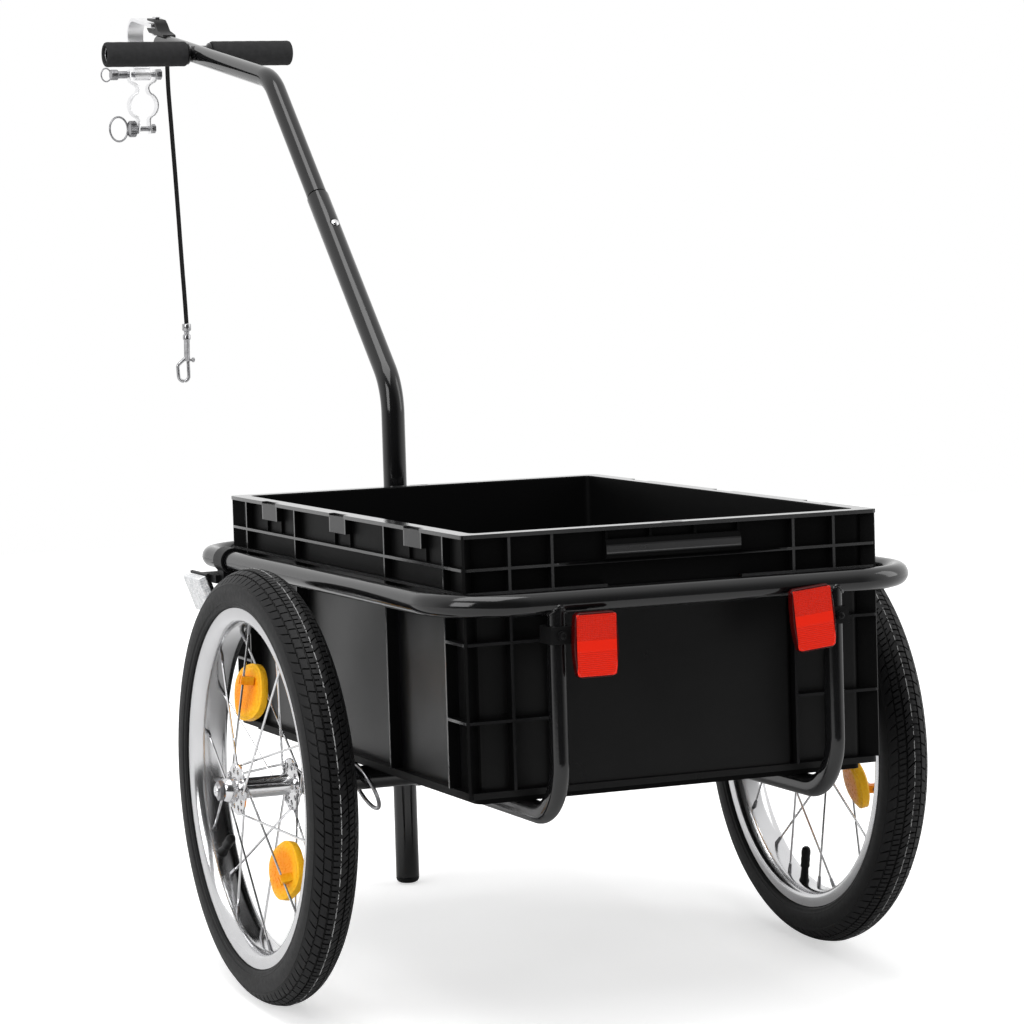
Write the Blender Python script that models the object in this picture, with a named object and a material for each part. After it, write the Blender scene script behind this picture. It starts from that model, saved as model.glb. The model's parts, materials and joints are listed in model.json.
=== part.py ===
"""Two-wheeled bicycle trailer with a lift-in crate, a bent drawbar with a T-handle,
a seat-post coupling, and a leg on which it parks nose-down.

Everything is modelled in the trailer's own level frame, in metres: x to the right as seen
from behind, y forward towards the coupling, z up from the ground under the wheels, with
the axle at y = 0. The root empty then tips the whole trailer onto its leg.
"""

import math

import bmesh
import bpy
from mathutils import Matrix, Vector

GAP = 0.0003

WHEEL_RADIUS = 0.200
WHEEL_STEPS = 36
TYRE_SECTION = 0.0225
WHEEL_X = 0.283
RIM_EDGE_RADIUS = 0.1655
RIM_HALF_WIDTH = 0.018
RIM_BED_RADIUS = 0.1490
SPOKES = 20
SPOKE_RADIUS = 0.0011
FLANGE_X = 0.026
SPOKE_HOLE_RADIUS = 0.0215
SPOKE_REACH = 0.1478
SPOKE_CROSSING = math.radians(62)
SPOKE_PHASE = {"left": math.radians(22), "right": math.radians(10)}
LENS_THICKNESS = 0.012
CLIP_SIZE = 0.0075
CLIP_COVER = 0.0030
CLIP_AHEAD = 0.012
VALVE_LENGTH = 0.036
REFLECTORS_AND_VALVE = {"left": ((72, 232), 0.088, -32), "right": ((202, 22), 0.0915, -80)}

CRATE_WIDTH = 0.400
CRATE_LENGTH = 0.600
CRATE_Y = 0.0115
CRATE_BASE_Z = 0.2113
CRATE_TOP_Z = 0.444
CRATE_HEIGHT = CRATE_TOP_Z - CRATE_BASE_Z
CRATE_CORNER = 0.005
WALL_CORNER = 0.010
CORNER_STEPS = 4
CRATE_RIM = 0.0035
CRATE_WALL = 0.0035
CRATE_RIB = 0.0025
RIB_INSET = 0.0006
BAND_DEPTH = 0.0075
BAND_BOTTOM = CRATE_HEIGHT - 0.052
WALL_DEPTH = 0.0115
SKIRT_TOP = 0.0115
SKIRT_BOTTOM = 0.0060
FOOT_DEPTH = 0.0140
CORNER_ZONE_X = 0.116
CORNER_ZONE_Y = 0.2545

RAIL_RADIUS = 0.010
RAIL_SIDES = 10
RAIL_Z = 0.386
RAIL_HALF_WIDTH = 0.226
RAIL_REAR_Y = -0.327
RAIL_REAR_CORNER = 0.070
RAIL_FRONT_CORNER = 0.060

HOOP_X = 0.132
HOOP_WIDTH = 0.015
HOOP_DEPTH = 0.020
HOOP_BEND = 0.050
HOOP_ARC_STEPS = 4

AXLE_RADIUS = 0.011
AXLE_BORE_RADIUS = 0.0083
PIN_HOLE_RADIUS = 0.0023
AXLE_END_X = 0.2455
AXLE_PIN_X = 0.195

LEG_Y = 0.371
LEG_RADIUS = 0.012
LEG_FOOT_Z = 0.0264
SOCKET_RADIUS = 0.015
CROSSBAR_Z = 0.250
UPPER_TUBE_RADIUS = 0.011
KNEE_Z = 0.541
SHOULDER = (0.7062, 0.8723)
NOSE = (1.091, 0.9339)
DRAWBAR_BEND = 0.065
SEAM_SHARE = 0.60
BUTTON_BELOW_SEAM = 0.051
BUTTON_TURN = math.radians(12)

HANDLE_Y = 0.958
HANDLE_RISE = 0.001
HANDLE_RADIUS = 0.0095
GRIP_RADIUS = 0.0145
GRIP_FROM_X = 0.0155
GRIP_TO_X = 0.1135

KINGPIN_AHEAD = 0.024
KINGPIN_UP = 0.0188
FORK_GAP = 0.009
FORK_PLATE = 0.004
FORK_HALF_WIDTH = 0.011
PIVOT = (0.0546, -0.0657)
CLAMP_RADIUS = 0.0165
CLAMP_CENTRE_DROP = 0.0375
CLAMP_SCREW_DROP = 0.066

STRAP_Y = 1.072
STRAP_WIDTH = 0.008
EYE_WIRE = 0.0015
EYE_DROP = 0.0190


def clear_scene():
    for obj in list(bpy.data.objects):
        bpy.data.objects.remove(obj)


def finish(name, color, roughness, metallic=0.0):
    material = bpy.data.materials.new(name)
    material.use_nodes = True
    shader = material.node_tree.nodes["Principled BSDF"]
    shader.inputs["Base Color"].default_value = (*color, 1.0)
    shader.inputs["Roughness"].default_value = roughness
    shader.inputs["Metallic"].default_value = metallic
    return material


def add_object(name, mesh_data, material, parent, location=(0, 0, 0)):
    """A bmesh becomes a named object, smooth across shallow edges."""
    mesh = bpy.data.meshes.new(name)
    bmesh.ops.recalc_face_normals(mesh_data, faces=mesh_data.faces)
    mesh_data.to_mesh(mesh)
    mesh_data.free()
    mesh.materials.append(material)
    mesh.shade_smooth()
    mesh.set_sharp_from_angle(angle=math.radians(35))
    obj = bpy.data.objects.new(name, mesh)
    bpy.context.collection.objects.link(obj)
    obj.parent = parent
    obj.location = location
    return obj


def add_empty(name, parent, location):
    empty = bpy.data.objects.new(name, None)
    bpy.context.collection.objects.link(empty)
    empty.parent = parent
    empty.location = location
    return empty


def cut(target, tools, operation="DIFFERENCE"):
    """Boolean tools stay in the file as hidden wire objects."""
    for tool in tools:
        tool.hide_render = True
        tool.display_type = "WIRE"
        modifier = target.modifiers.new(operation.lower(), "BOOLEAN")
        modifier.operation = operation
        modifier.solver = "EXACT"
        modifier.object = tool


def circle(radius, sides):
    return [(radius * math.cos(2 * math.pi * i / sides), radius * math.sin(2 * math.pi * i / sides))
            for i in range(sides)]


def stadium(width, depth, arc_steps):
    """A flat-oval tube section, long along its second axis."""
    radius = width / 2
    reach = depth / 2 - radius
    points = []
    for sign, start in ((1, 0.0), (-1, math.pi)):
        for i in range(arc_steps + 1):
            angle = start + math.pi * i / arc_steps
            points.append((radius * math.cos(angle), sign * reach + radius * math.sin(angle)))
    return points


def rounded(points, radii, steps, closed=False):
    """A path whose corners are replaced by arcs, of one radius or one for each point."""
    corners = [Vector(p) for p in points]
    count = len(corners)
    path = []
    for i, corner in enumerate(corners):
        radius = radii[i] if isinstance(radii, tuple) else radii
        if not closed and i in (0, count - 1):
            path.append(corner)
            continue
        before = (corners[i - 1] - corner).normalized()
        after = (corners[(i + 1) % count] - corner).normalized()
        half = before.angle(after) / 2
        reach = radius / math.tan(half)
        centre = corner + (before + after).normalized() * radius / math.sin(half)
        first = corner + before * reach - centre
        turn = math.pi - 2 * half
        axis = first.cross(corner + after * reach - centre).normalized()
        for k in range(steps + 1):
            path.append(centre + Matrix.Rotation(turn * k / steps, 3, axis) @ first)
    return path


def sweep(path, section, side, closed=False):
    """A section carried along a path. The section's first axis starts along side."""
    mesh_data = bmesh.new()
    rings = []
    count = len(path)
    across = Vector(side).normalized()
    for i, point in enumerate(path):
        ahead = path[(i + 1) % count] if closed or i < count - 1 else point
        behind = path[i - 1] if closed or i > 0 else point
        along = ((ahead - point).normalized() + (point - behind).normalized()).normalized()
        across = (across - along * across.dot(along)).normalized()
        up = along.cross(across)
        rings.append([mesh_data.verts.new(point + across * a + up * b) for a, b in section])
    sides = len(section)
    last = count if closed else count - 1
    for i in range(last):
        low, high = rings[i], rings[(i + 1) % count]
        for k in range(sides):
            mesh_data.faces.new((low[k], low[(k + 1) % sides], high[(k + 1) % sides], high[k]))
    if not closed:
        mesh_data.faces.new(reversed(rings[0]))
        mesh_data.faces.new(rings[-1])
    return mesh_data


def turned(profile, steps, axis="Z"):
    """A profile of (distance along the axis, radius) turned about the axis.

    A radius of zero at an end closes it with a point; a profile without such
    ends is a closed loop, such as a tyre or a ring.
    """
    mesh_data = bmesh.new()
    spin = {"X": Matrix.Rotation(math.pi / 2, 3, "Y"), "Y": Matrix.Rotation(-math.pi / 2, 3, "X"),
            "Z": Matrix.Identity(3)}[axis]
    rings = []
    for height, radius in profile:
        if radius == 0:
            rings.append([mesh_data.verts.new(spin @ Vector((0, 0, height)))])
            continue
        rings.append([mesh_data.verts.new(spin @ Vector((radius * math.cos(a), radius * math.sin(a), height)))
                      for a in (2 * math.pi * i / steps for i in range(steps))])
    pairs = list(zip(rings, rings[1:]))
    if profile[0][1] and profile[-1][1]:
        pairs.append((rings[-1], rings[0]))
    for low, high in pairs:
        for i in range(steps):
            k = (i + 1) % steps
            corners = [low[i % len(low)], low[k % len(low)], high[k % len(high)], high[i % len(high)]]
            mesh_data.faces.new(list(dict.fromkeys(corners)))
    return mesh_data


def rod(start, end, radius, sides, side=(1, 0, 0)):
    return sweep([Vector(start), Vector(end)], circle(radius, sides), side)


def plate(outline, thickness, normal="Z"):
    """A flat outline given thickness, centred on its own plane."""
    mesh_data = bmesh.new()
    turn = {"X": Matrix.Rotation(math.pi / 2, 3, "Z") @ Matrix.Rotation(math.pi / 2, 3, "X"),
            "Y": Matrix.Rotation(math.pi / 2, 3, "X"), "Z": Matrix.Identity(3)}[normal]
    base = [mesh_data.verts.new(turn @ Vector((a, b, -thickness / 2))) for a, b in outline]
    face = mesh_data.faces.new(base)
    lifted = bmesh.ops.extrude_face_region(mesh_data, geom=[face])["geom"]
    verts = [item for item in lifted if isinstance(item, bmesh.types.BMVert)]
    bmesh.ops.translate(mesh_data, verts=verts, vec=turn @ Vector((0, 0, thickness)))
    return mesh_data


def rounded_rectangle(width, length, radius, steps):
    corners = [(-width / 2, -length / 2, 0), (width / 2, -length / 2, 0),
               (width / 2, length / 2, 0), (-width / 2, length / 2, 0)]
    return rounded(corners, radius, steps, closed=True)


def box(size, centre):
    mesh_data = bmesh.new()
    bmesh.ops.create_cube(mesh_data, size=1.0)
    bmesh.ops.scale(mesh_data, vec=size, verts=mesh_data.verts)
    bmesh.ops.translate(mesh_data, vec=centre, verts=mesh_data.verts)
    return mesh_data


def merged(parts):
    """Several separate solids in one mesh, for one Boolean."""
    whole = bmesh.new()
    for part in parts:
        mesh = bpy.data.meshes.new("solid")
        part.to_mesh(mesh)
        part.free()
        whole.from_mesh(mesh)
        bpy.data.meshes.remove(mesh)
    return whole


def turn_mesh(mesh_data, matrix):
    bmesh.ops.transform(mesh_data, matrix=matrix, verts=mesh_data.verts)
    return mesh_data


def corner_radius(inset):
    """Rim and ribs end at tight corners; the recessed wall's corners share one centre."""
    return CRATE_CORNER if inset < 0.004 else WALL_CORNER + WALL_DEPTH - inset


def corner_point(side_x, side_y, inset, angle):
    """The point at an angle round one corner of the crate's outline, set in by inset."""
    radius = corner_radius(inset)
    return (side_x * (CRATE_WIDTH / 2 - inset - radius) + radius * math.cos(angle),
            side_y * (CRATE_LENGTH / 2 - inset - radius) + radius * math.sin(angle))


def crate_shell():
    """The wall is one profile of (inset, height) carried round the crate's outline."""
    mid_rib = CRATE_HEIGHT - 0.0290
    inner = WALL_DEPTH + CRATE_WALL
    foot_inner = FOOT_DEPTH + 0.0045
    profile = [
        (0.0, CRATE_HEIGHT), (0.0, CRATE_HEIGHT - CRATE_RIM), (BAND_DEPTH, CRATE_HEIGHT - CRATE_RIM),
        (BAND_DEPTH, mid_rib), (RIB_INSET, mid_rib), (RIB_INSET, mid_rib - CRATE_RIB),
        (BAND_DEPTH, mid_rib - CRATE_RIB), (BAND_DEPTH, BAND_BOTTOM + CRATE_RIB),
        (RIB_INSET, BAND_BOTTOM + CRATE_RIB), (RIB_INSET, BAND_BOTTOM),
        (WALL_DEPTH, BAND_BOTTOM), (WALL_DEPTH, SKIRT_TOP), (0.003, SKIRT_TOP - 0.001), (0.003, SKIRT_BOTTOM),
        (FOOT_DEPTH, SKIRT_BOTTOM), (FOOT_DEPTH, 0.0), (foot_inner, 0.0), (foot_inner, 0.0035),
        (inner, 0.0085), (inner, CRATE_HEIGHT),
    ]
    mesh_data = bmesh.new()
    rings = []
    for quarter in range(4):
        side_x = 1 if quarter in (0, 3) else -1
        side_y = 1 if quarter in (0, 1) else -1
        for step in range(CORNER_STEPS + 1):
            angle = math.pi / 2 * (quarter + step / CORNER_STEPS)
            rings.append([mesh_data.verts.new(Vector((*corner_point(side_x, side_y, inset, angle), z)))
                          for inset, z in profile])
    for low, high in zip(rings, rings[1:] + rings[:1]):
        for k in range(len(profile)):
            m = (k + 1) % len(profile)
            mesh_data.faces.new((low[k], low[m], high[m], high[k]))
    return mesh_data


def wall_block(side, along, width, bottom, top, outer, inner):
    """A block on one wall: side is a letter and sign, outer and inner are insets from the outline."""
    axis, sign = side[0], 1 if side[1] == "+" else -1
    half = (CRATE_WIDTH if axis == "x" else CRATE_LENGTH) / 2
    across = sign * (half - (outer + inner) / 2)
    size = (inner - outer, width) if axis == "x" else (width, inner - outer)
    centre = (across, along) if axis == "x" else (along, across)
    return box((*size, top - bottom), (*centre, (bottom + top) / 2))


def corner_shelf(sign_x, sign_y, height):
    """A rib that runs level round one corner, from the end wall to the side wall."""
    outline = []
    for inset, order in ((RIB_INSET, 1), (WALL_DEPTH + 0.001, -1)):
        line = [(CORNER_ZONE_X, CRATE_LENGTH / 2 - inset)]
        for step in range(CORNER_STEPS + 1):
            line.append(corner_point(1, 1, inset, math.pi / 2 * (1 - step / CORNER_STEPS)))
        line.append((CRATE_WIDTH / 2 - inset, CORNER_ZONE_Y))
        outline += line[::order]
    shelf = plate([(sign_x * a, sign_y * b) for a, b in outline], CRATE_RIB)
    bmesh.ops.translate(shelf, vec=(0, 0, height), verts=shelf.verts)
    return shelf


def build_crate(root, plastic):
    """A ribbed stacking crate: band under the rim, latch pockets, hand holds, corner ribs, panelled ends."""
    crate = add_object("crate", crate_shell(), plastic, root, (0, CRATE_Y, CRATE_BASE_Z))
    deep = WALL_DEPTH + 0.001
    under_rim = CRATE_HEIGHT - CRATE_RIM + 0.001
    rib_foot = SKIRT_TOP - 0.003
    latch_ys = (-0.186, 0.0, 0.186)
    grip_ribs = (-0.0635, -0.0215, 0.0215, 0.0635)
    pocket_top = CRATE_HEIGHT - 0.0175
    grip_low = CRATE_HEIGHT - 0.0300
    grip_high = CRATE_HEIGHT - 0.0110

    upright = []
    level = []
    for sign in "+-":
        for x in (-0.156, -CORNER_ZONE_X, CORNER_ZONE_X, 0.156):
            upright.append(wall_block("y" + sign, x, CRATE_RIB, rib_foot, under_rim, RIB_INSET, deep))
        for x in grip_ribs:
            upright.append(wall_block("y" + sign, x, CRATE_RIB, grip_high - 0.004, under_rim, 0.0015, deep))
        for y in (-CORNER_ZONE_Y, -0.1165, 0.1165, CORNER_ZONE_Y):
            upright.append(wall_block("x" + sign, y, CRATE_RIB, rib_foot, under_rim, RIB_INSET, deep))
        for y in latch_ys:
            for step in (-0.0195, 0.0195):
                upright.append(wall_block("x" + sign, y + step, CRATE_RIB, grip_low, pocket_top + 0.001,
                                          0.003, deep))
            level.append(wall_block("x" + sign, y, 0.042, pocket_top, under_rim, 0.0008, deep))
        level.append(wall_block("y" + sign, 0, 0.220, SKIRT_TOP - 0.002, BAND_BOTTOM + 0.001, 0.0060, deep))
    for sign_x in (-1, 1):
        for sign_y in (-1, 1):
            outer = Vector(corner_point(sign_x, sign_y, RIB_INSET, math.atan2(sign_y, sign_x)))
            base = Vector(corner_point(sign_x, sign_y, deep, math.atan2(sign_y, sign_x)))
            post = box((CRATE_RIB, (outer - base).length, under_rim - rib_foot), (0, 0, 0))
            turn = Matrix.Rotation(-sign_x * sign_y * math.pi / 4, 4, "Z")
            centre = Vector((*(outer + base) / 2, (under_rim + rib_foot) / 2))
            upright.append(turn_mesh(post, Matrix.Translation(centre) @ turn))
            for height in (0.0717, 0.1387):
                level.append(corner_shelf(sign_x, sign_y, height))
    for y in (-0.2, -0.1, 0.1, 0.2):
        upright.append(box((CRATE_WIDTH - 0.036, CRATE_RIB, 0.0035), (0, y, 0.00275)))
    for x in (-0.070, 0.0, 0.070):
        level.append(box((CRATE_RIB, CRATE_LENGTH - 0.036, 0.0035), (x, 0, 0.00275)))

    bars = []
    for sign in (-1, 1):
        section = [(deep, grip_low), (0.0030, grip_low), (0.0008, grip_low + 0.004),
                   (0.0008, grip_high - 0.004), (0.0030, grip_high), (deep, grip_high)]
        bar = plate([(inset, z) for inset, z in section], 0.128, "X")
        mirror = Matrix.Translation((0, sign * CRATE_LENGTH / 2, 0)) @ Matrix.Scale(-sign, 4, (0, 1, 0))
        bars.append(turn_mesh(bar, mirror))
    floor_edge = 2 * (WALL_DEPTH + CRATE_WALL)
    floor_outline = rounded_rectangle(CRATE_WIDTH - floor_edge, CRATE_LENGTH - floor_edge, 0.005, 2)
    slab = plate([(p.x, p.y) for p in floor_outline], 0.003)
    bmesh.ops.translate(slab, vec=(0, 0, 0.0055), verts=slab.verts)
    bars.append(slab)
    tools = []
    place = (0, CRATE_Y, CRATE_BASE_Z)
    for name, parts in (("floor", bars), ("uprights", upright), ("shelves", level)):
        tools.append(add_object("crate_%s_tool" % name, merged(parts), plastic, root, place))
    cut(crate, tools, "UNION")

    notches = []
    notch_floor = CRATE_HEIGHT - 0.0018
    notch_top = CRATE_HEIGHT + 0.002
    for sign in "+-":
        for y in latch_ys:
            notches.append(wall_block("x" + sign, y, 0.036, notch_floor, notch_top, -0.002, 0.0045))
        notches.append(wall_block("y" + sign, 0, 0.020, notch_floor, notch_top, 0.003, 0.0085))
    notch_tool = add_object("crate_notch_tool", merged(notches), plastic, root, place)
    cut(crate, [notch_tool])


def build_frame(root, steel, chrome):
    """The rail, two hoops under it, the axle tubes and the crossbar that carry the crate."""
    front_y = LEG_Y - SOCKET_RADIUS - RAIL_RADIUS - GAP
    radii = (RAIL_REAR_CORNER, RAIL_REAR_CORNER, RAIL_FRONT_CORNER, RAIL_FRONT_CORNER)
    corners = [(-RAIL_HALF_WIDTH, RAIL_REAR_Y, RAIL_Z), (RAIL_HALF_WIDTH, RAIL_REAR_Y, RAIL_Z),
               (RAIL_HALF_WIDTH, front_y, RAIL_Z), (-RAIL_HALF_WIDTH, front_y, RAIL_Z)]
    ring = rounded(corners, radii, 6, closed=True)
    add_object("rail", sweep(ring, circle(RAIL_RADIUS, RAIL_SIDES), (0, 0, 1), closed=True), steel, root)

    low_z = CRATE_BASE_Z - GAP - HOOP_DEPTH / 2
    for side, sign in (("left", -1), ("right", 1)):
        path = rounded([(0, RAIL_REAR_Y, RAIL_Z), (0, RAIL_REAR_Y, low_z),
                        (0, front_y, low_z), (0, front_y, RAIL_Z)], HOOP_BEND, 6)
        hoop = add_object("hoop_" + side, sweep(path, stadium(HOOP_WIDTH, HOOP_DEPTH, HOOP_ARC_STEPS), (1, 0, 0)),
                          steel, root, (sign * HOOP_X, 0, 0))
        saddles = []
        for y in (RAIL_REAR_Y, front_y):
            ends = [(x, y, RAIL_Z) for x in (-0.05, 0.05)]
            saddles.append(rod(*ends, RAIL_RADIUS + GAP, RAIL_SIDES, (0, 0, 1)))
        saddle = add_object("hoop_%s_saddle_tool" % side, merged(saddles), steel, root, (sign * HOOP_X, 0, 0))
        above = [box((0.05, 0.05, 0.03), (0, y, RAIL_Z + 0.015)) for y in (RAIL_REAR_Y, front_y)]
        top = add_object("hoop_%s_top_tool" % side, merged(above), steel, root, (sign * HOOP_X, 0, 0))
        cut(hoop, [saddle, top])

    inner_x = HOOP_X - HOOP_WIDTH / 2 - GAP
    outer_x = HOOP_X + HOOP_WIDTH / 2 + GAP
    axle = (0, 0, WHEEL_RADIUS)
    middle = rod((-inner_x, 0, 0), (inner_x, 0, 0), AXLE_RADIUS, 16, (0, 0, 1))
    add_object("axle_tube_middle", middle, steel, root, axle)
    for side, sign in (("left", -1), ("right", 1)):
        outside = rod((sign * outer_x, 0, 0), (sign * AXLE_END_X, 0, 0), AXLE_RADIUS, 16, (0, 0, 1))
        tube = add_object("axle_tube_" + side, outside, steel, root, axle)
        inside = rod((sign * 0.18, 0, 0), (sign * 0.26, 0, 0), AXLE_BORE_RADIUS, 12, (0, 0, 1))
        bore = add_object("axle_bore_%s_tool" % side, inside, steel, root, axle)
        hole = add_object("axle_hole_%s_tool" % side, rod((0, 0, -0.02), (0, 0, 0.02), PIN_HOLE_RADIUS, 8),
                          steel, root, (sign * AXLE_PIN_X, 0, WHEEL_RADIUS))
        cut(tube, [bore, hole])
        build_axle_pin(root, side, sign, chrome)
    crossbar = rod((-inner_x, front_y, CROSSBAR_Z), (inner_x, front_y, CROSSBAR_Z), RAIL_RADIUS, 12, (0, 0, 1))
    add_object("front_crossbar", crossbar, steel, root)
    for name, z in (("socket_upper", RAIL_Z), ("socket_lower", CROSSBAR_Z)):
        sleeve = [(-0.020, SOCKET_RADIUS), (0.020, SOCKET_RADIUS), (0.020, LEG_RADIUS + GAP),
                  (-0.020, LEG_RADIUS + GAP)]
        add_object(name, turned(sleeve, 16), steel, root, (0, LEG_Y, z))


def build_axle_pin(root, side, sign, chrome):
    """A wire-lock pin: its shaft crosses tube and spindle, its ring snaps round the tube below."""
    shaft = [(0.0155, 0), (0.0155, 0.0035), (0.0113, 0.0035), (0.0113, 0.0020), (-0.0135, 0.0020),
             (-0.0145, 0)]
    pin = add_object("axle_pin_" + side, turned(shaft, 8), chrome, root, (sign * AXLE_PIN_X, 0, WHEEL_RADIUS))
    loop = [Vector((0, 0.0235 * math.sin(a), 0.0235 * math.cos(a)))
            for a in (2 * math.pi * i / 16 for i in range(16))]
    wire = turn_mesh(sweep(loop, circle(0.0011, 4), (1, 0, 0), closed=True),
                     Matrix.Translation((sign * -0.0100, 0, -0.0080)) @ Matrix.Rotation(sign * 0.42, 4, "Y"))
    ring = add_object("axle_ring_%s_tool" % side, wire, chrome, root, (sign * AXLE_PIN_X, 0, WHEEL_RADIUS))
    cut(pin, [ring], "UNION")


def nose_frame():
    """The directions along and above the drawbar's nose, in the middle plane."""
    along = (Vector((0, *NOSE)) - Vector((0, *SHOULDER))).normalized()
    return along, Vector((0, -along.z, along.y))


def build_drawbar(root, steel, plastic, chrome):
    """Leg and drawbar are one bent tube; a thinner tube slides into its top end."""
    knee = Vector((0, LEG_Y, KNEE_Z))
    shoulder = Vector((0, *SHOULDER))
    nose = Vector((0, *NOSE))
    seam = knee.lerp(shoulder, SEAM_SHARE)
    slant = (shoulder - knee).normalized()
    foot_top = LEG_FOOT_Z + 0.006
    lower = rounded([(0, LEG_Y, foot_top + GAP), knee, seam], DRAWBAR_BEND, 6)
    tube = add_object("drawbar_lower", sweep(lower, circle(LEG_RADIUS, 16), (1, 0, 0)), steel, root)
    upper = rounded([seam + slant * GAP, shoulder, nose], DRAWBAR_BEND, 6)
    upper_tube = add_object("drawbar_upper", sweep(upper, circle(UPPER_TUBE_RADIUS, 16), (1, 0, 0)), steel, root)
    cap = [(0.0, 0), (0.0, 0.0075), (0.0015, 0.0105), (0.006, LEG_RADIUS), (0.006, 0)]
    add_object("leg_cap", turned(cap, 16), plastic, root, (0, LEG_Y, LEG_FOOT_Z))

    button_place = seam - slant * BUTTON_BELOW_SEAM
    facing = Matrix.Rotation(BUTTON_TURN, 4, slant) @ Matrix.Rotation(math.atan2(slant.z, slant.y), 4, "X")
    hollow = [(0.0075, 0), (0.0075, 0.0052), (0.02, 0.0052), (0.02, 0)]
    socket = add_object("button_socket_tool", turned(hollow, 12), steel, root, button_place)
    socket.rotation_euler = facing.to_euler()
    cut(tube, [socket])
    button = [(0.0078, 0), (0.0078, 0.0045), (0.0118, 0.0045), (0.0136, 0.0028), (0.0140, 0)]
    stud = add_object("spring_button", turned(button, 12), chrome, root, button_place)
    stud.rotation_euler = facing.to_euler()

    along = nose_frame()[0]
    eye_path = rounded([(0, -0.008, 0), (0, -0.008, -EYE_DROP), (0, 0.008, -EYE_DROP), (0, 0.008, 0)], 0.003, 2)
    eye = add_object("strap_eye_tool", sweep(eye_path, circle(EYE_WIRE, 6), (1, 0, 0)), steel, root,
                     nose + along * ((STRAP_Y - nose.y) / along.y))
    eye.rotation_euler = (math.atan2(along.z, along.y), 0, 0)
    cut(upper_tube, [eye], "UNION")
    edge = UPPER_TUBE_RADIUS - 0.0005
    plug = [(GAP, 0), (GAP, edge), (0.002, edge), (0.0035, 0.007), (0.0035, 0)]
    end_plug = add_object("nose_plug", turned(plug, 16, "Y"), plastic, root, nose)
    end_plug.rotation_euler = (math.atan2(along.z, along.y), 0, 0)

    handle_z = shoulder.z + along.z / along.y * (HANDLE_Y - shoulder.y) + HANDLE_RISE
    for side, sign in (("left", -1), ("right", 1)):
        collar = UPPER_TUBE_RADIUS + 0.0008
        profile = [(0.002, 0), (0.002, HANDLE_RADIUS), (collar, HANDLE_RADIUS), (collar, 0.0125),
                   (GRIP_FROM_X - GAP, 0.0125), (GRIP_FROM_X - GAP, HANDLE_RADIUS),
                   (GRIP_TO_X - 0.003, HANDLE_RADIUS), (GRIP_TO_X - 0.003, 0)]
        stub = add_object("handle_" + side, turned([(sign * x, r) for x, r in profile], 16, "X"),
                          steel, root, (0, HANDLE_Y, handle_z))
        cope = add_object("handle_%s_tool" % side,
                          rod(along * -0.05, along * 0.05, UPPER_TUBE_RADIUS + GAP, 16),
                          steel, root, (0, HANDLE_Y, handle_z - HANDLE_RISE))
        cut(stub, [cope])
    return handle_z


def build_grips(root, foam, handle_z):
    for side, sign in (("left", -1), ("right", 1)):
        bore = HANDLE_RADIUS + GAP
        sleeve = [(GRIP_FROM_X, bore), (GRIP_FROM_X, GRIP_RADIUS - 0.001), (GRIP_FROM_X + 0.002, GRIP_RADIUS),
                  (GRIP_TO_X - 0.002, GRIP_RADIUS), (GRIP_TO_X, GRIP_RADIUS - 0.002), (GRIP_TO_X, bore)]
        add_object("grip_" + side, turned([(sign * x, r) for x, r in sleeve], 16, "X"), foam, root,
                   (0, HANDLE_Y, handle_z))


def tyre_profile():
    """The rounded carcass, then the step in to the bead between the rim's flanges."""
    centre = WHEEL_RADIUS - TYRE_SECTION
    start = math.radians(-32)
    steps = 9
    points = []
    for i in range(steps + 1):
        angle = start + (math.pi - 2 * start) * i / steps
        points.append((TYRE_SECTION * math.cos(angle), centre + TYRE_SECTION * math.sin(angle)))
    bead = RIM_HALF_WIDTH - 0.0022
    points += [(-bead, RIM_EDGE_RADIUS), (-bead, RIM_EDGE_RADIUS - 0.004), (bead, RIM_EDGE_RADIUS - 0.004),
               (bead, RIM_EDGE_RADIUS)]
    return points


def rim_profile():
    """A box-shaped rim with two hooked flanges and a raised bed."""
    edge = RIM_EDGE_RADIUS - GAP
    half = [(0.0080, 0.1535), (0.0165, 0.1580), (0.0165, edge), (RIM_HALF_WIDTH, edge), (0.0175, 0.1530),
            (0.0095, RIM_BED_RADIUS)]
    return half + [(-x, r) for x, r in reversed(half)]


def hub_profile():
    """Outer end first: bearing cup, flange, waist, flange, and a shorter inner cup."""
    bore = 0.0060
    outer = [(0.040, bore), (0.040, 0.009), (0.034, 0.0115)]
    inner = [(-0.030, 0.0115), (-0.0345, 0.0105), (-0.0345, bore)]
    waist = [(0.0275, 0.0115), (0.0275, 0.024), (0.0245, 0.024), (0.0235, 0.0125), (0.0190, 0.0095)]
    return outer + waist + [(-x, r) for x, r in reversed(waist)] + inner


def spoke_ends(sign, phase):
    """Hub end and rim end of each spoke on one flange, in crossed pairs."""
    per_side = SPOKES // 2
    ends = []
    for i in range(per_side):
        lean = 1 if i % 2 else -1
        rim_angle = 2 * math.pi * (i + sign * 0.25) / per_side + phase
        hub_angle = rim_angle + lean * SPOKE_CROSSING
        start = Vector((sign * (FLANGE_X + lean * 0.001), SPOKE_HOLE_RADIUS * math.cos(hub_angle),
                        SPOKE_HOLE_RADIUS * math.sin(hub_angle)))
        end = Vector((sign * 0.004, SPOKE_REACH * math.cos(rim_angle), SPOKE_REACH * math.sin(rim_angle)))
        ends.append((start, end))
    return ends


def spoke_mesh(phase):
    parts = []
    for sign in (-1, 1):
        for start, end in spoke_ends(sign, phase):
            parts.append(sweep([start, end], circle(SPOKE_RADIUS, 4), (1, 0, 0)))
    return merged(parts)


def reflector_outline(width, length, steps):
    return [(width / 2 * math.copysign(abs(math.cos(a)) ** 0.8, math.cos(a)),
             length / 2 * math.copysign(abs(math.sin(a)) ** 0.8, math.sin(a)))
            for a in (2 * math.pi * i / steps for i in range(steps))]


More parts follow.
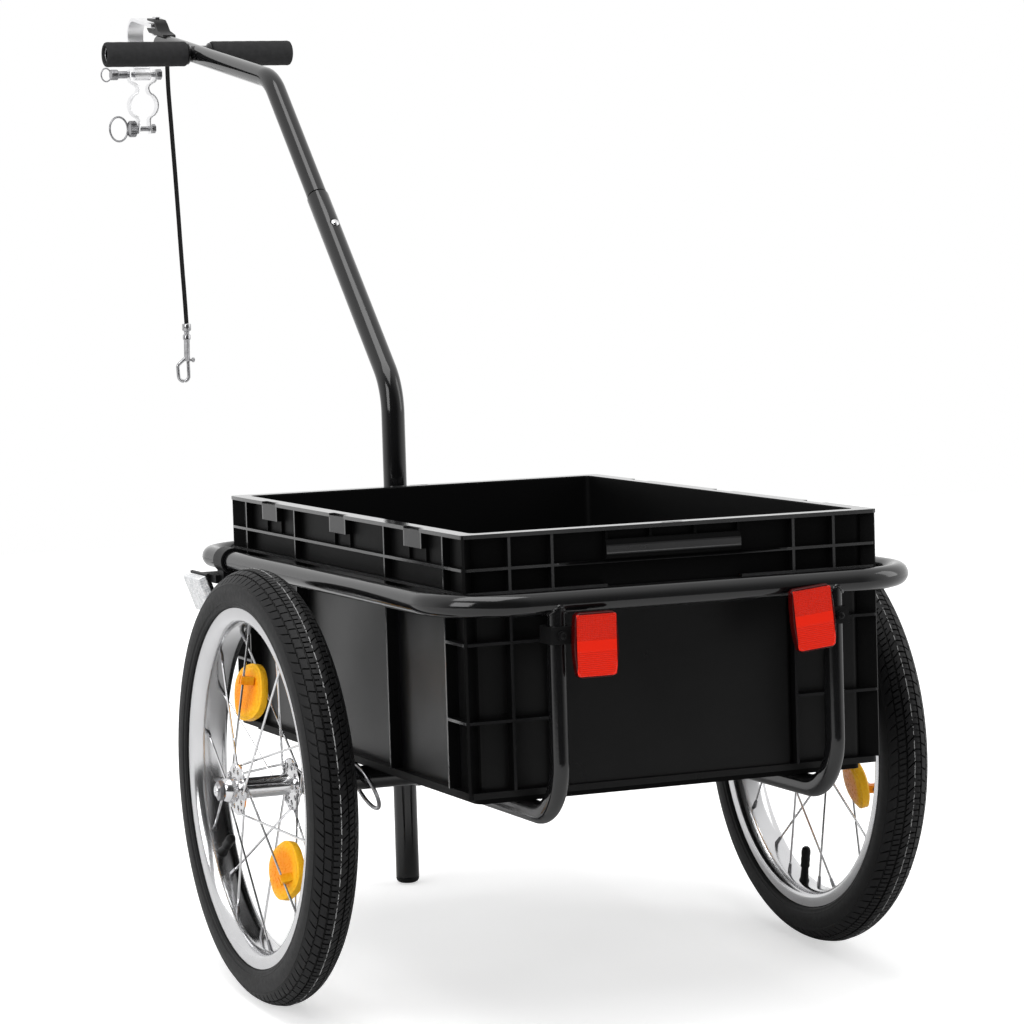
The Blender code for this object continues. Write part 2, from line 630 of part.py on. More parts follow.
def build_wheel_reflector(wheel, name, outer_spokes, angle, radius, amber):
    """An oval lens between the spokes, with a forked clip moulded on it that grips one outer spoke."""
    turn = math.radians(angle)
    place = Vector((0, radius * math.cos(turn), radius * math.sin(turn)))
    lens = add_object(name, plate(reflector_outline(0.047, 0.052, 12), LENS_THICKNESS, "X"), amber, wheel, place)
    lens.rotation_euler = (turn - math.pi / 2, 0, 0)

    def nearest_point(spoke):
        start, end = spoke
        share = (place - start).dot(end - start) / (end - start).length_squared
        return start.lerp(end, min(max(share, 0.0), 1.0))

    start, end = min(outer_spokes, key=lambda spoke: (nearest_point(spoke) - place).yz.length)
    along = (end - start).normalized()
    seat = nearest_point((start, end)) + along * CLIP_AHEAD
    outward = math.copysign(1, seat.x)

    def bar_on_spoke(depth, cover, half_width, half_length):
        section = [(-outward * depth, -half_width), (outward * cover, -half_width),
                   (outward * cover, half_width), (-outward * depth, half_width)]
        return sweep([seat - along * half_length, seat + along * half_length], section, (1, 0, 0))

    room = SPOKE_RADIUS + GAP
    clip = bar_on_spoke(abs(seat.x) - 0.002, CLIP_COVER, CLIP_SIZE / 2, CLIP_SIZE / 2)
    clip_tool = add_object(name + "_clip_tool", clip, amber, wheel)
    slot_tool = add_object(name + "_slot_tool", bar_on_spoke(room, CLIP_SIZE, room, CLIP_SIZE), amber, wheel)
    cut(lens, [clip_tool], "UNION")
    cut(lens, [slot_tool])
    lens.modifiers.new("triangles", "TRIANGULATE").ngon_method = "CLIP"


def build_wheel(root, side, sign, materials):
    """Tyre, rim, spoked hub, two reflectors and a valve turn together on a fixed spindle."""
    wheel = add_empty("wheel_%s_axis" % side, root, (sign * WHEEL_X, 0, WHEEL_RADIUS))
    add_object("tyre_" + side, turned(tyre_profile(), WHEEL_STEPS, "X"), materials["rubber"], wheel)
    add_object("rim_" + side, turned(rim_profile(), WHEEL_STEPS, "X"), materials["alloy"], wheel)
    hub = add_object("hub_" + side, turned([(sign * x, r) for x, r in hub_profile()], 14, "X"),
                     materials["chrome"], wheel)
    phase = SPOKE_PHASE[side]
    spokes = add_object("spokes_%s_tool" % side, spoke_mesh(phase), materials["chrome"], wheel)
    cut(hub, [spokes], "UNION")
    angles, radius, valve_angle = REFLECTORS_AND_VALVE[side]
    for number, angle in enumerate(angles, 1):
        build_wheel_reflector(wheel, "wheel_reflector_%s_%d" % (side, number), spoke_ends(sign, phase),
                              angle, radius, materials["amber"])
    cap_end = RIM_BED_RADIUS * math.cos(math.pi / WHEEL_STEPS) - GAP
    stem = [(cap_end, 0), (cap_end, 0.0040), (cap_end - 0.004, 0.0030), (cap_end - 0.020, 0.0026),
            (cap_end - 0.020, 0.0032), (cap_end - VALVE_LENGTH, 0.0032), (cap_end - VALVE_LENGTH, 0)]
    valve = add_object("valve_" + side, turned(stem, 8, "Y"), materials["plastic"], wheel)
    valve.rotation_euler = (math.radians(valve_angle), 0, 0)

    spindle_in = AXLE_PIN_X - 0.010 - WHEEL_X
    spindle = [(spindle_in, 0), (spindle_in, 0.0055), (0.0405, 0.0055), (0.0405, 0.0095), (0.0458, 0.0095),
               (0.0458, 0.0055), (0.047, 0)]
    shaft = add_object("spindle_" + side, turned([(sign * x, r) for x, r in spindle], 12, "X"),
                       materials["chrome"], root, (sign * WHEEL_X, 0, WHEEL_RADIUS))
    hole = add_object("spindle_hole_%s_tool" % side, rod((0, 0, -0.01), (0, 0, 0.01), PIN_HOLE_RADIUS, 8),
                      materials["chrome"], root, (sign * AXLE_PIN_X, 0, WHEEL_RADIUS))
    cut(shaft, [hole])


def build_rear_reflectors(root, red, plastic):
    """Each red lens is screwed to a plastic clamp round the top of a hoop."""
    half_width, half_height, chamfer = 0.0206, 0.0278, 0.0030
    for side, sign, z, lean, clamp_z in (("left", -1, 0.350, 0, 0.359), ("right", 1, 0.358, 5.5, 0.358)):
        x = sign * 0.1035
        outline = []
        for share, cut_back in ((-1, chamfer), (-0.9, 0), (-0.5, 0), (0, 0), (0.5, 0), (0.9, 0), (1, chamfer)):
            narrowing = 0.0033 if share < 0 else 0.0019
            outline.append((half_width - narrowing * share * share - cut_back, half_height * share))
        outline += [(-a, b) for a, b in reversed(outline)]
        lens = add_object("rear_reflector_" + side, plate(outline, 0.008, "Y"), red, root, (x, -0.3440, z))
        lens.rotation_euler = (0, math.radians(-lean), 0)

        hoop_x = sign * HOOP_X
        collar = box((HOOP_WIDTH + 0.004, HOOP_DEPTH + 0.005, 0.015), (hoop_x, RAIL_REAR_Y, clamp_z))
        clamp = add_object("rear_reflector_clamp_" + side, collar, plastic, root)
        arm_from = hoop_x - sign * (HOOP_WIDTH / 2 + 0.001)
        arm_to = x - sign * 0.004
        arm = box((abs(arm_from - arm_to), 0.0060, 0.011), ((arm_from + arm_to) / 2, -0.3397 + 0.0030, clamp_z))
        arm_tool = add_object("rear_clamp_arm_%s_tool" % side, arm, plastic, root)
        screw_y = RAIL_REAR_Y - HOOP_DEPTH / 2 - 0.0035
        screw = rod((hoop_x, screw_y + 0.002, clamp_z), (hoop_x, screw_y - 0.0025, clamp_z), 0.0038, 8)
        screw_tool = add_object("rear_clamp_screw_%s_tool" % side, screw, plastic, root)
        cut(clamp, [arm_tool, screw_tool], "UNION")
        bore = sweep([Vector((hoop_x, RAIL_REAR_Y, clamp_z + rise)) for rise in (-0.02, 0.02)],
                     stadium(HOOP_WIDTH + 2 * GAP, HOOP_DEPTH + 2 * GAP, HOOP_ARC_STEPS), (1, 0, 0))
        bore_tool = add_object("rear_clamp_bore_%s_tool" % side, bore, plastic, root)
        cut(clamp, [bore_tool])


def build_front_reflectors(root, clear, plastic):
    """Each clear lens faces sideways under a clamp on the rail, near its front corner."""
    for side, sign in (("left", -1), ("right", 1)):
        tilt = Matrix.Rotation(sign * math.radians(20), 4, "Y")
        centre = Matrix.Translation((sign * 0.2365, 0.287, 0.354))
        lens_box = box((0.009, 0.048, 0.037), (sign * 0.0061, 0, 0))
        lens = turn_mesh(lens_box, centre @ tilt)
        bmesh.ops.bevel(lens, geom=lens.edges[:], offset=0.002, segments=1, affect="EDGES")
        add_object("front_reflector_" + side, lens, clear, root)

        collar = rod((sign * RAIL_HALF_WIDTH, 0.232, RAIL_Z), (sign * RAIL_HALF_WIDTH, 0.256, RAIL_Z),
                     RAIL_RADIUS + 0.0028, 12, (0, 0, 1))
        clamp = add_object("front_reflector_clamp_" + side, collar, plastic, root)
        backing = turn_mesh(box((0.0026, 0.050, 0.039), (0, 0, 0)), centre @ tilt)
        lug = box((0.012, 0.018, 0.014), (sign * 0.2290, 0.246, 0.3705))
        arm = box((0.0170, 0.044, 0.008), (sign * 0.2315, 0.268, 0.3680))
        for name, piece in (("backing", backing), ("lug", lug), ("arm", arm)):
            tool = add_object("front_clamp_%s_%s_tool" % (name, side), piece, plastic, root)
            cut(clamp, [tool], "UNION")
        bore = rod((sign * RAIL_HALF_WIDTH, 0.20, RAIL_Z), (sign * RAIL_HALF_WIDTH, 0.2860, RAIL_Z),
                   RAIL_RADIUS + GAP, RAIL_SIDES, (0, 0, 1))
        bore_tool = add_object("front_clamp_bore_%s_tool" % side, bore, plastic, root)
        cut(clamp, [bore_tool])


def build_hitch(root, steel, chrome):
    """A fork on the drawbar's nose, a bent strap on its kingpin, and a seat-post clamp on the strap."""
    along, above = nose_frame()
    place = Vector((0, *NOSE)) + along * KINGPIN_AHEAD + above * KINGPIN_UP
    slope_angle = math.atan2(along.z, along.y)
    seat = add_empty("hitch_seat", root, place)
    seat.rotation_euler = (slope_angle, 0, 0)
    yaw = add_empty("hitch_yaw_axis", root, place)
    yaw.rotation_euler = (slope_angle, 0, 0)

    half_gap = FORK_GAP / 2
    low = half_gap + 0.0030
    profile = [(-0.098, -low - 0.002), (0.004, -low - 0.002), (0.011, -low + 0.001), (0.0125, -half_gap),
               (-0.026, -half_gap), (-0.026, half_gap), (0.0125, half_gap), (0.0125, half_gap + FORK_PLATE),
               (-0.034, half_gap + FORK_PLATE), (-0.046, -0.0015), (-0.098, -0.0035)]
    fork = add_object("hitch_bracket", plate(profile, 2 * FORK_HALF_WIDTH, "X"), steel, seat)
    tube = rod((0, -0.14, -KINGPIN_UP), (0, 0.0, -KINGPIN_UP), UPPER_TUBE_RADIUS + GAP, 16)
    cope = add_object("hitch_bracket_cope_tool", tube, steel, seat)
    hole = add_object("hitch_bracket_hole_tool", rod((0, 0, -0.02), (0, 0, 0.02), 0.0034, 12), steel, seat)
    cut(fork, [cope, hole])
    kingpin = [(-0.0125, 0), (-0.0125, 0.0048), (-0.0101, 0.0048), (-0.0101, 0.003), (0.0089, 0.003),
               (0.0089, 0.0055), (0.0122, 0.0055), (0.0122, 0)]
    add_object("hitch_kingpin", turned(kingpin, 12), chrome, seat)

    ahead, drop = PIVOT
    neck = rounded([(0, -0.010, 0), (0, 0.0925, 0), (0, 0.0800, -0.033), (0, ahead, drop + 0.0062)],
                   (0, 0.020, 0.020, 0), 5)
    section = [(-0.010, -0.002), (0.010, -0.002), (0.010, 0.002), (-0.010, 0.002)]
    yoke = add_object("hitch_yoke", sweep(neck, section, (1, 0, 0)), chrome, yaw)
    barrel = rod((-0.010, ahead, drop), (0.010, ahead, drop), 0.0072, 12, (0, 0, 1))
    eye = add_object("hitch_yoke_eye_tool", barrel, chrome, yaw)
    cut(yoke, [eye], "UNION")
    across = rod((-0.012, ahead, drop), (0.012, ahead, drop), 0.0034, 12, (0, 0, 1))
    bore = add_object("hitch_yoke_bore_tool", across, chrome, yaw)
    king_bore = add_object("hitch_yoke_king_tool", rod((0, 0, -0.006), (0, 0, 0.006), 0.0034, 12), chrome, yaw)
    cut(yoke, [bore, king_bore])

    pitch = add_empty("hitch_pitch_axis", yaw, (0, ahead, drop))
    pitch.rotation_euler = (-slope_angle, 0, 0)
    bolt = [(-0.040, 0), (-0.040, 0.0065), (-0.031, 0.0065), (-0.029, 0.0045), (-0.019, 0.0045), (-0.019, 0.003),
            (0.0195, 0.003), (0.0195, 0.006), (0.0245, 0.006), (0.0245, 0)]
    pivot_bolt = add_object("clamp_pivot_bolt", turned(bolt, 12, "X"), chrome, pitch)
    add_pull_ring(pivot_bolt, "pivot", -0.0455, 0.0080, 0.0009, chrome, pitch, 0)
    for side, sign in (("left", -1), ("right", 1)):
        half = clamp_half()
        if sign < 0:
            bmesh.ops.scale(half, vec=(-1, 1, 1), verts=half.verts)
        band = add_object("clamp_band_" + side, half, chrome, pitch)
        holes = [add_object("clamp_band_%s_hole_%s_tool" % (side, end),
                            rod((-0.04, 0, z), (0.04, 0, z), 0.0033, 12, (0, 0, 1)), chrome, pitch)
                 for end, z in (("top", 0.0), ("bottom", -CLAMP_SCREW_DROP))]
        cut(band, holes)
    screw = [(-0.019, 0), (-0.019, 0.010), (-0.0105, 0.010), (-0.0105, 0.003), (0.0105, 0.003), (0.0105, 0.005),
             (0.0145, 0.005), (0.0145, 0)]
    clamp_screw = add_object("clamp_screw", turned(screw, 12, "X"), chrome, pitch, (0, 0, -CLAMP_SCREW_DROP))
    add_pull_ring(clamp_screw, "screw", -0.0320, 0.0148, 0.00125, chrome, pitch, -CLAMP_SCREW_DROP)


def clamp_half():
    """The right half of the seat-post clamp: tab, neck, half ring and lower tab."""
    path = [Vector((0.0165, 0, 0.006)), Vector((0.0165, 0, -0.004)), Vector((0.0150, 0, -0.0085)),
            Vector((0.0085, 0, -0.0125)), Vector((0.0062, 0, -0.0165))]
    steps = 8
    for i in range(steps + 1):
        angle = math.radians(66 - 132 * i / steps)
        path.append(Vector((CLAMP_RADIUS * math.cos(angle) + 0.0012, 0,
                            CLAMP_RADIUS * math.sin(angle) - CLAMP_CENTRE_DROP)))
    path += [Vector((0.0066, 0, -0.0575)), Vector((0.0082, 0, -0.0720))]
    section = [(-0.0009, -0.007), (0.0009, -0.007), (0.0009, 0.007), (-0.0009, 0.007)]
    return sweep(path, section, (1, 0, 0))


def add_pull_ring(carrier, name, x, radius, wire, chrome, parent, z):
    """A wire ring through the left end of a bolt or screw."""
    loop = [Vector((radius * math.cos(a), 0, radius * math.sin(a)))
            for a in (2 * math.pi * i / 14 for i in range(14))]
    mesh_data = turn_mesh(sweep(loop, circle(wire, 4), (0, 1, 0), closed=True),
                          Matrix.Rotation(math.radians(26), 4, "Z"))
    ring = add_object("%s_ring_tool" % name, mesh_data, chrome, parent, (x, 0, z))
    cut(carrier, [ring], "UNION")


def build_strap(root, webbing, chrome, pitch_angle):
    """A webbing strap hangs from an eye under the drawbar and ends in a swivel snap hook."""
    along, above = nose_frame()
    tube_point = Vector((0, *NOSE)) + along * ((STRAP_Y - NOSE[0]) / along.y)
    eye_wire = tube_point - above * EYE_DROP
    inner = EYE_WIRE + GAP
    thick = 0.0016
    loop = turned([(-0.0042, inner), (-0.0042, inner + thick), (0.0042, inner + thick), (0.0042, inner)], 12, "Y")
    ring = add_object("strap_loop", loop, webbing, root, eye_wire)
    ring.rotation_euler = (math.atan2(along.z, along.y), 0, 0)
    hang = add_empty("strap_hang", root, eye_wire - Vector((0, 0, inner + thick + 0.0010)))
    hang.rotation_euler = (pitch_angle, 0, 0)
    route = [(0.000, 0.0000, 0.000), (0.0006, -0.0010, -0.030), (0.0029, -0.0025, -0.070),
             (0.0052, -0.0040, -0.110), (0.0076, -0.0050, -0.150), (0.0100, -0.0055, -0.190),
             (0.0125, -0.0055, -0.230), (0.0152, -0.0055, -0.270), (0.0178, -0.0055, -0.312)]
    curve = bpy.data.curves.new("strap", "CURVE")
    curve.dimensions = "3D"
    curve.bevel_depth = STRAP_WIDTH / 2
    curve.bevel_resolution = 2
    curve.use_fill_caps = True
    spline = curve.splines.new("POLY")
    fine = smooth_route([Vector(p) for p in route], 2)
    spline.points.add(len(fine) - 1)
    for point, place in zip(spline.points, fine):
        point.co = (*place, 1.0)
    curve.materials.append(webbing)
    strap = bpy.data.objects.new("strap", curve)
    bpy.context.collection.objects.link(strap)
    strap.parent = hang

    end = Vector(route[-1]) - Vector((0, 0, GAP))
    swivel = [(0.0, 0), (0.0, 0.0055), (-0.0080, 0.0055), (-0.0095, 0.0030), (-0.0125, 0.0030),
              (-0.0140, 0.0048), (-0.0190, 0.0048), (-0.0200, 0.0036), (-0.0440, 0.0036), (-0.0455, 0)]
    hook = add_object("snap_hook", turned(swivel, 10), chrome, hang, end)
    bend = rounded([(0.0012, 0, -0.040), (0.0022, 0, -0.0690), (-0.0105, 0, -0.0700), (-0.0120, 0, -0.0500),
                    (-0.0008, 0, -0.0405)], (0, 0.0060, 0.0070, 0.005, 0), 3)
    shank = add_object("snap_hook_bend_tool", sweep(bend, circle(0.0019, 7), (0, 1, 0)), chrome, hang, end)
    knob = add_object("snap_hook_knob_tool", rod((0.002, 0, -0.0440), (0.0095, 0, -0.0440), 0.0028, 8, (0, 0, 1)),
                      chrome, hang, end)
    cut(hook, [shank, knob], "UNION")


def smooth_route(points, steps):
    """A smooth curve through the given points, each stretch in equal steps."""
    padded = [2 * points[0] - points[1]] + points + [2 * points[-1] - points[-2]]
    fine = []
    for a, b, c, d in zip(padded, padded[1:], padded[2:], padded[3:]):
        for i in range(steps):
            t = i / steps
            fine.append(0.5 * (2 * b + (c - a) * t + (2 * a - 5 * b + 4 * c - d) * t * t
                               + (3 * b - a - 3 * c + d) * t * t * t))
    fine.append(points[-1])
    return fine


def parked_pitch():
    """The nose-down angle at which wheels and leg share the ground."""
    best = math.pi
    for height, radius in ((0.0, 0.0075), (0.0015, 0.0105), (0.006, LEG_RADIUS)):
        reach = LEG_Y + radius
        below = WHEEL_RADIUS - LEG_FOOT_Z - height
        angle = math.atan2(reach, below) - math.acos(WHEEL_RADIUS / math.hypot(reach, below))
        best = min(best, angle)
    return best


def world_bounds(skip):
    graph = bpy.context.evaluated_depsgraph_get()
    low = Vector((9, 9, 9))
    high = Vector((-9, -9, -9))
    for obj in bpy.data.objects:
        if obj.type not in {"MESH", "CURVE"} or obj.hide_render or obj.name in skip:
            continue
        seen = obj.evaluated_get(graph)
        mesh = seen.to_mesh()
        for vertex in mesh.vertices:
            place = obj.matrix_world @ vertex.co
            low = Vector(map(min, low, place))
            high = Vector(map(max, high, place))
        seen.to_mesh_clear()
    return low, high


def main():
    clear_scene()
    materials = {
        "steel": finish("black_enamel", (0.012, 0.012, 0.013), 0.28),
        "plastic": finish("black_plastic", (0.016, 0.016, 0.017), 0.42),
        "rubber": finish("tyre_rubber", (0.022, 0.022, 0.023), 0.75),
        "alloy": finish("polished_alloy", (0.78, 0.78, 0.79), 0.14, 1.0),
        "chrome": finish("chrome_plate", (0.80, 0.80, 0.81), 0.10, 1.0),
        "amber": finish("amber_lens", (1.0, 0.36, 0.02), 0.18),
        "red": finish("red_lens", (0.80, 0.02, 0.01), 0.18),
        "clear": finish("clear_lens", (0.85, 0.86, 0.87), 0.15),
        "foam": finish("grip_foam", (0.045, 0.045, 0.047), 0.85),
        "webbing": finish("black_webbing", (0.015, 0.015, 0.016), 0.80),
    }
    root = add_empty("trailer", None, (0, 0, 0))
    build_crate(root, materials["plastic"])
    build_frame(root, materials["steel"], materials["chrome"])
    handle_z = build_drawbar(root, materials["steel"], materials["plastic"], materials["chrome"])
    build_grips(root, materials["foam"], handle_z)
    for side, sign in (("left", -1), ("right", 1)):
        build_wheel(root, side, sign, materials)
    build_rear_reflectors(root, materials["red"], materials["plastic"])
    build_front_reflectors(root, materials["clear"], materials["plastic"])
    build_hitch(root, materials["steel"], materials["chrome"])
    pitch_angle = parked_pitch()
    build_strap(root, materials["webbing"], materials["chrome"], pitch_angle)

    axle = Vector((0, 0, WHEEL_RADIUS))
    tip = Matrix.Rotation(-pitch_angle, 4, "X")
    root.matrix_world = Matrix.Translation(axle) @ tip @ Matrix.Translation(-axle)
    bpy.context.view_layer.update()
    low, high = world_bounds({"strap", "snap_hook"})
    centred = Matrix.Translation((-(low.x + high.x) / 2, -(low.y + high.y) / 2, -low.z))
    root.matrix_world = centred @ root.matrix_world
    bpy.context.view_layer.update()


main()
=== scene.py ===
"""The dressed bicycle trailer: crate, tube frame, drawbar, wheels and seat-post coupling."""

import json
import math

import bmesh
import bpy
from mathutils import Matrix, Vector


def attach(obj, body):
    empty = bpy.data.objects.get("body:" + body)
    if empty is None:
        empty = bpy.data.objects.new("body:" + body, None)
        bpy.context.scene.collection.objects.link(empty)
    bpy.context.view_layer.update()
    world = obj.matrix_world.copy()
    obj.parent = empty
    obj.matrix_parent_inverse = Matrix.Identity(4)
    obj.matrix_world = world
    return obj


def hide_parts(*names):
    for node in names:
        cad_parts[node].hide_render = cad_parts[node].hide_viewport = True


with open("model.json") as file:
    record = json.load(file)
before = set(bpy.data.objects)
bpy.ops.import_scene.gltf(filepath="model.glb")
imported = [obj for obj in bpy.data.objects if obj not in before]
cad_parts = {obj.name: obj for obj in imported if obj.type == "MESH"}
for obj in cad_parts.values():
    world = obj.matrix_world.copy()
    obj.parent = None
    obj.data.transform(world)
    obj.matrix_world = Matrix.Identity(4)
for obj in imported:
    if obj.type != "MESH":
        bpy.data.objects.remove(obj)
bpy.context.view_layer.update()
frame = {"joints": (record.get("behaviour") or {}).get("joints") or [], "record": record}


# The trailer parks nose-down on its leg. Everything below is laid out in its own level frame,
# x to the right seen from behind, y forward and z up, with the axle 200 mm over the ground;
# `level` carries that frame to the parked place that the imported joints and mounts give.
WHEEL_RADIUS = 0.200
wheel_joint = next(joint for joint in frame["joints"] if joint["name"] == "wheel_right_spin")
floor_mount = next(mount for mount in frame["record"]["mounts"] if mount["name"] == "load_floor")
axle_centre = Vector((0, *wheel_joint["pos_m"][1:]))
parked_angle = math.atan2(floor_mount["axis"][1], floor_mount["axis"][2])
level = (Matrix.Translation(axle_centre) @ Matrix.Rotation(-parked_angle, 4, "X")
         @ Matrix.Translation((0, 0, -WHEEL_RADIUS)))


# The camera stands behind the trailer on its left, 3.2 m from the coupling, with a long lens
# held a little above the crate's rim and tilted by under two degrees.
CAMERA_PLACE = Vector((-1.37257, -3.13616, 0.70664))
CAMERA_AZIMUTH = -0.40478
CAMERA_DROP = 0.07895
CAMERA_ROLL = -0.0296
LENS_MM = 128.66
SENSOR_MM = 36
camera_data = bpy.data.cameras.new("camera")
camera_data.lens = LENS_MM
camera_data.sensor_width = SENSOR_MM
camera = bpy.data.objects.new("camera", camera_data)
bpy.context.scene.collection.objects.link(camera)
gaze = Vector((-math.sin(CAMERA_AZIMUTH) * math.cos(CAMERA_DROP),
               math.cos(CAMERA_AZIMUTH) * math.cos(CAMERA_DROP), -math.sin(CAMERA_DROP)))
flat_right = gaze.cross(Vector((0, 0, 1))).normalized()
flat_up = flat_right.cross(gaze)
rolled_right = flat_right * math.cos(CAMERA_ROLL) + flat_up * math.sin(CAMERA_ROLL)
rolled_up = flat_up * math.cos(CAMERA_ROLL) - flat_right * math.sin(CAMERA_ROLL)
turn = Matrix((rolled_right, rolled_up, -gaze)).transposed().to_4x4()
camera.matrix_world = level @ Matrix.Translation(CAMERA_PLACE) @ turn
bpy.context.scene.camera = camera


# The safety strap is 8 mm black polyester webbing, sewn round the eye under the drawbar and round
# the swivel of a snap hook. It hangs straight down, swung a little to the right by its own set.
def sweep(path, section, side, closed=False):
    """A section carried along a path. The section's first axis starts along side."""
    mesh_data = bmesh.new()
    rings = []
    count = len(path)
    across = Vector(side).normalized()
    for i, point in enumerate(path):
        ahead = path[(i + 1) % count] if closed or i < count - 1 else point
        behind = path[i - 1] if closed or i > 0 else point
        along = ((ahead - point).normalized() + (point - behind).normalized()).normalized()
        across = (across - along * across.dot(along)).normalized()
        up = along.cross(across)
        rings.append([mesh_data.verts.new(point + across * a + up * b) for a, b in section])
    sides = len(section)
    for i in range(count if closed else count - 1):
        low, high = rings[i], rings[(i + 1) % count]
        for k in range(sides):
            mesh_data.faces.new((low[k], low[(k + 1) % sides], high[(k + 1) % sides], high[k]))
    if not closed:
        mesh_data.faces.new(reversed(rings[0]))
        mesh_data.faces.new(rings[-1])
    return mesh_data


def smooth_route(points, steps):
    """A smooth curve through the given points, each stretch in equal steps."""
    padded = [2 * points[0] - points[1]] + points + [2 * points[-1] - points[-2]]
    fine = []
    for a, b, c, d in zip(padded, padded[1:], padded[2:], padded[3:]):
        for i in range(steps):
            t = i / steps
            fine.append(0.5 * (2 * b + (c - a) * t + (2 * a - 5 * b + 4 * c - d) * t * t
                               + (3 * b - a - 3 * c + d) * t * t * t))
    fine.append(points[-1])
    return fine


def put(name, mesh_data, material, body="chassis", place=level, stands_for=(), soften=0.0):
    """A mesh becomes a shown piece: placed, smooth across shallow edges, and riding on its body."""
    mesh = bpy.data.meshes.new(name)
    bmesh.ops.recalc_face_normals(mesh_data, faces=mesh_data.faces)
    mesh_data.to_mesh(mesh)
    mesh_data.free()
    mesh.materials.append(material)
    mesh.shade_smooth()
    mesh.set_sharp_from_angle(angle=math.radians(32))
    piece = bpy.data.objects.new(name, mesh)
    bpy.context.scene.collection.objects.link(piece)
    if soften:
        edges = piece.modifiers.new("soft_edges", "BEVEL")
        edges.width = soften
        edges.segments = 2
        edges.angle_limit = math.radians(34)
        edges.harden_normals = True
    piece.matrix_world = place
    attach(piece, body)
    if stands_for:
        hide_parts(*stands_for)
    return piece


def finish(name, colour, roughness, metallic=0.0, coat=0.0, reflect=0.5):
    """A new material with one Principled shader; what is the same all over sits on its own sockets."""
    material = bpy.data.materials.new(name)
    material.use_nodes = True
    shader = material.node_tree.nodes["Principled BSDF"]
    shader.inputs["Base Color"].default_value = (*colour, 1.0)
    shader.inputs["Roughness"].default_value = roughness
    shader.inputs["Metallic"].default_value = metallic
    shader.inputs["Coat Weight"].default_value = coat
    shader.inputs["Specular IOR Level"].default_value = reflect
    return material, material.node_tree, shader


def node(tree, kind, **values):
    """A shader node with its settings; names that are sockets go to the sockets."""
    made = tree.nodes.new("ShaderNode" + kind)
    for name, value in values.items():
        socket = made.inputs.get(name.replace("_", " ").title())
        if socket is not None:
            socket.default_value = value
        else:
            setattr(made, name, value)
    return made


def sums(tree, operation, first, second):
    """One Math node; each side is a number or an output."""
    made = tree.nodes.new("ShaderNodeMath")
    made.operation = operation
    for socket, value in zip(made.inputs, (first, second)):
        if isinstance(value, (int, float)):
            socket.default_value = value
        elif value is not None:
            tree.links.new(value, socket)
    return made.outputs[0]


def times(tree, first, second):
    return sums(tree, "MULTIPLY", first, second)


def plus(tree, first, second):
    return sums(tree, "ADD", first, second)


def object_axes(tree):
    """The piece's own X, Y and Z at each point."""
    where = node(tree, "TexCoord")
    spot = node(tree, "SeparateXYZ")
    tree.links.new(where.outputs["Object"], spot.inputs["Vector"])
    return spot.outputs


def ramp(tree, value, low, high):
    """A value's way from low to high, as 0 to 1."""
    made = node(tree, "MapRange")
    made.inputs["From Min"].default_value = low
    made.inputs["From Max"].default_value = high
    tree.links.new(value, made.inputs["Value"])
    return made.outputs["Result"]


def bump(tree, shader, height, distance, strength=1.0):
    made = node(tree, "Bump", Strength=strength, Distance=distance)
    tree.links.new(height, made.inputs["Height"])
    tree.links.new(made.outputs["Normal"], shader.inputs["Normal"])


def spread(tree, value, low, high, socket):
    """A 0 to 1 value spread between two numbers and led to a socket."""
    made = node(tree, "MapRange")
    made.inputs["To Min"].default_value = low
    made.inputs["To Max"].default_value = high
    tree.links.new(value, made.inputs["Value"])
    tree.links.new(made.outputs["Result"], socket)


def tones(tree, shader, value, dark, light):
    """Base colour between two tones by a mask."""
    made = tree.nodes.new("ShaderNodeMix")
    made.data_type = "RGBA"
    made.inputs["A"].default_value = (*dark, 1.0)
    made.inputs["B"].default_value = (*light, 1.0)
    tree.links.new(value, made.inputs["Factor"])
    tree.links.new(made.outputs["Result"], shader.inputs["Base Color"])
    return made


def group(name, inputs, outputs):
    """An empty shader node group with named value sockets."""
    made = bpy.data.node_groups.new(name, "ShaderNodeTree")
    for label, default in inputs:
        made.interface.new_socket(label, in_out="INPUT", socket_type="NodeSocketFloat").default_value = default
    for label in outputs:
        made.interface.new_socket(label, in_out="OUTPUT", socket_type="NodeSocketFloat")
    return made, made.nodes.new("NodeGroupInput"), made.nodes.new("NodeGroupOutput")


def use_group(tree, made, **values):
    placed = tree.nodes.new("ShaderNodeGroup")
    placed.node_tree = made
    for label, value in values.items():
        placed.inputs[label].default_value = value
    return placed


# Grain: a fine all-over texture of a given size, with slow patches of tone across it.
grain, grain_in, grain_out = group("surface_grain", [("Fineness", 900.0), ("Patch", 12.0)],
                                   ["Height", "Patches"])
where = node(grain, "TexCoord")
fine_noise = node(grain, "TexNoise", Detail=3.0, Roughness=0.6)
patch_noise = node(grain, "TexNoise", Detail=4.0, Roughness=0.55)
for noise_node, label in ((fine_noise, "Fineness"), (patch_noise, "Patch")):
    grain.links.new(where.outputs["Object"], noise_node.inputs["Vector"])
    grain.links.new(grain_in.outputs[label], noise_node.inputs["Scale"])
grain.links.new(fine_noise.outputs["Fac"], grain_out.inputs["Height"])
grain.links.new(patch_noise.outputs["Fac"], grain_out.inputs["Patches"])

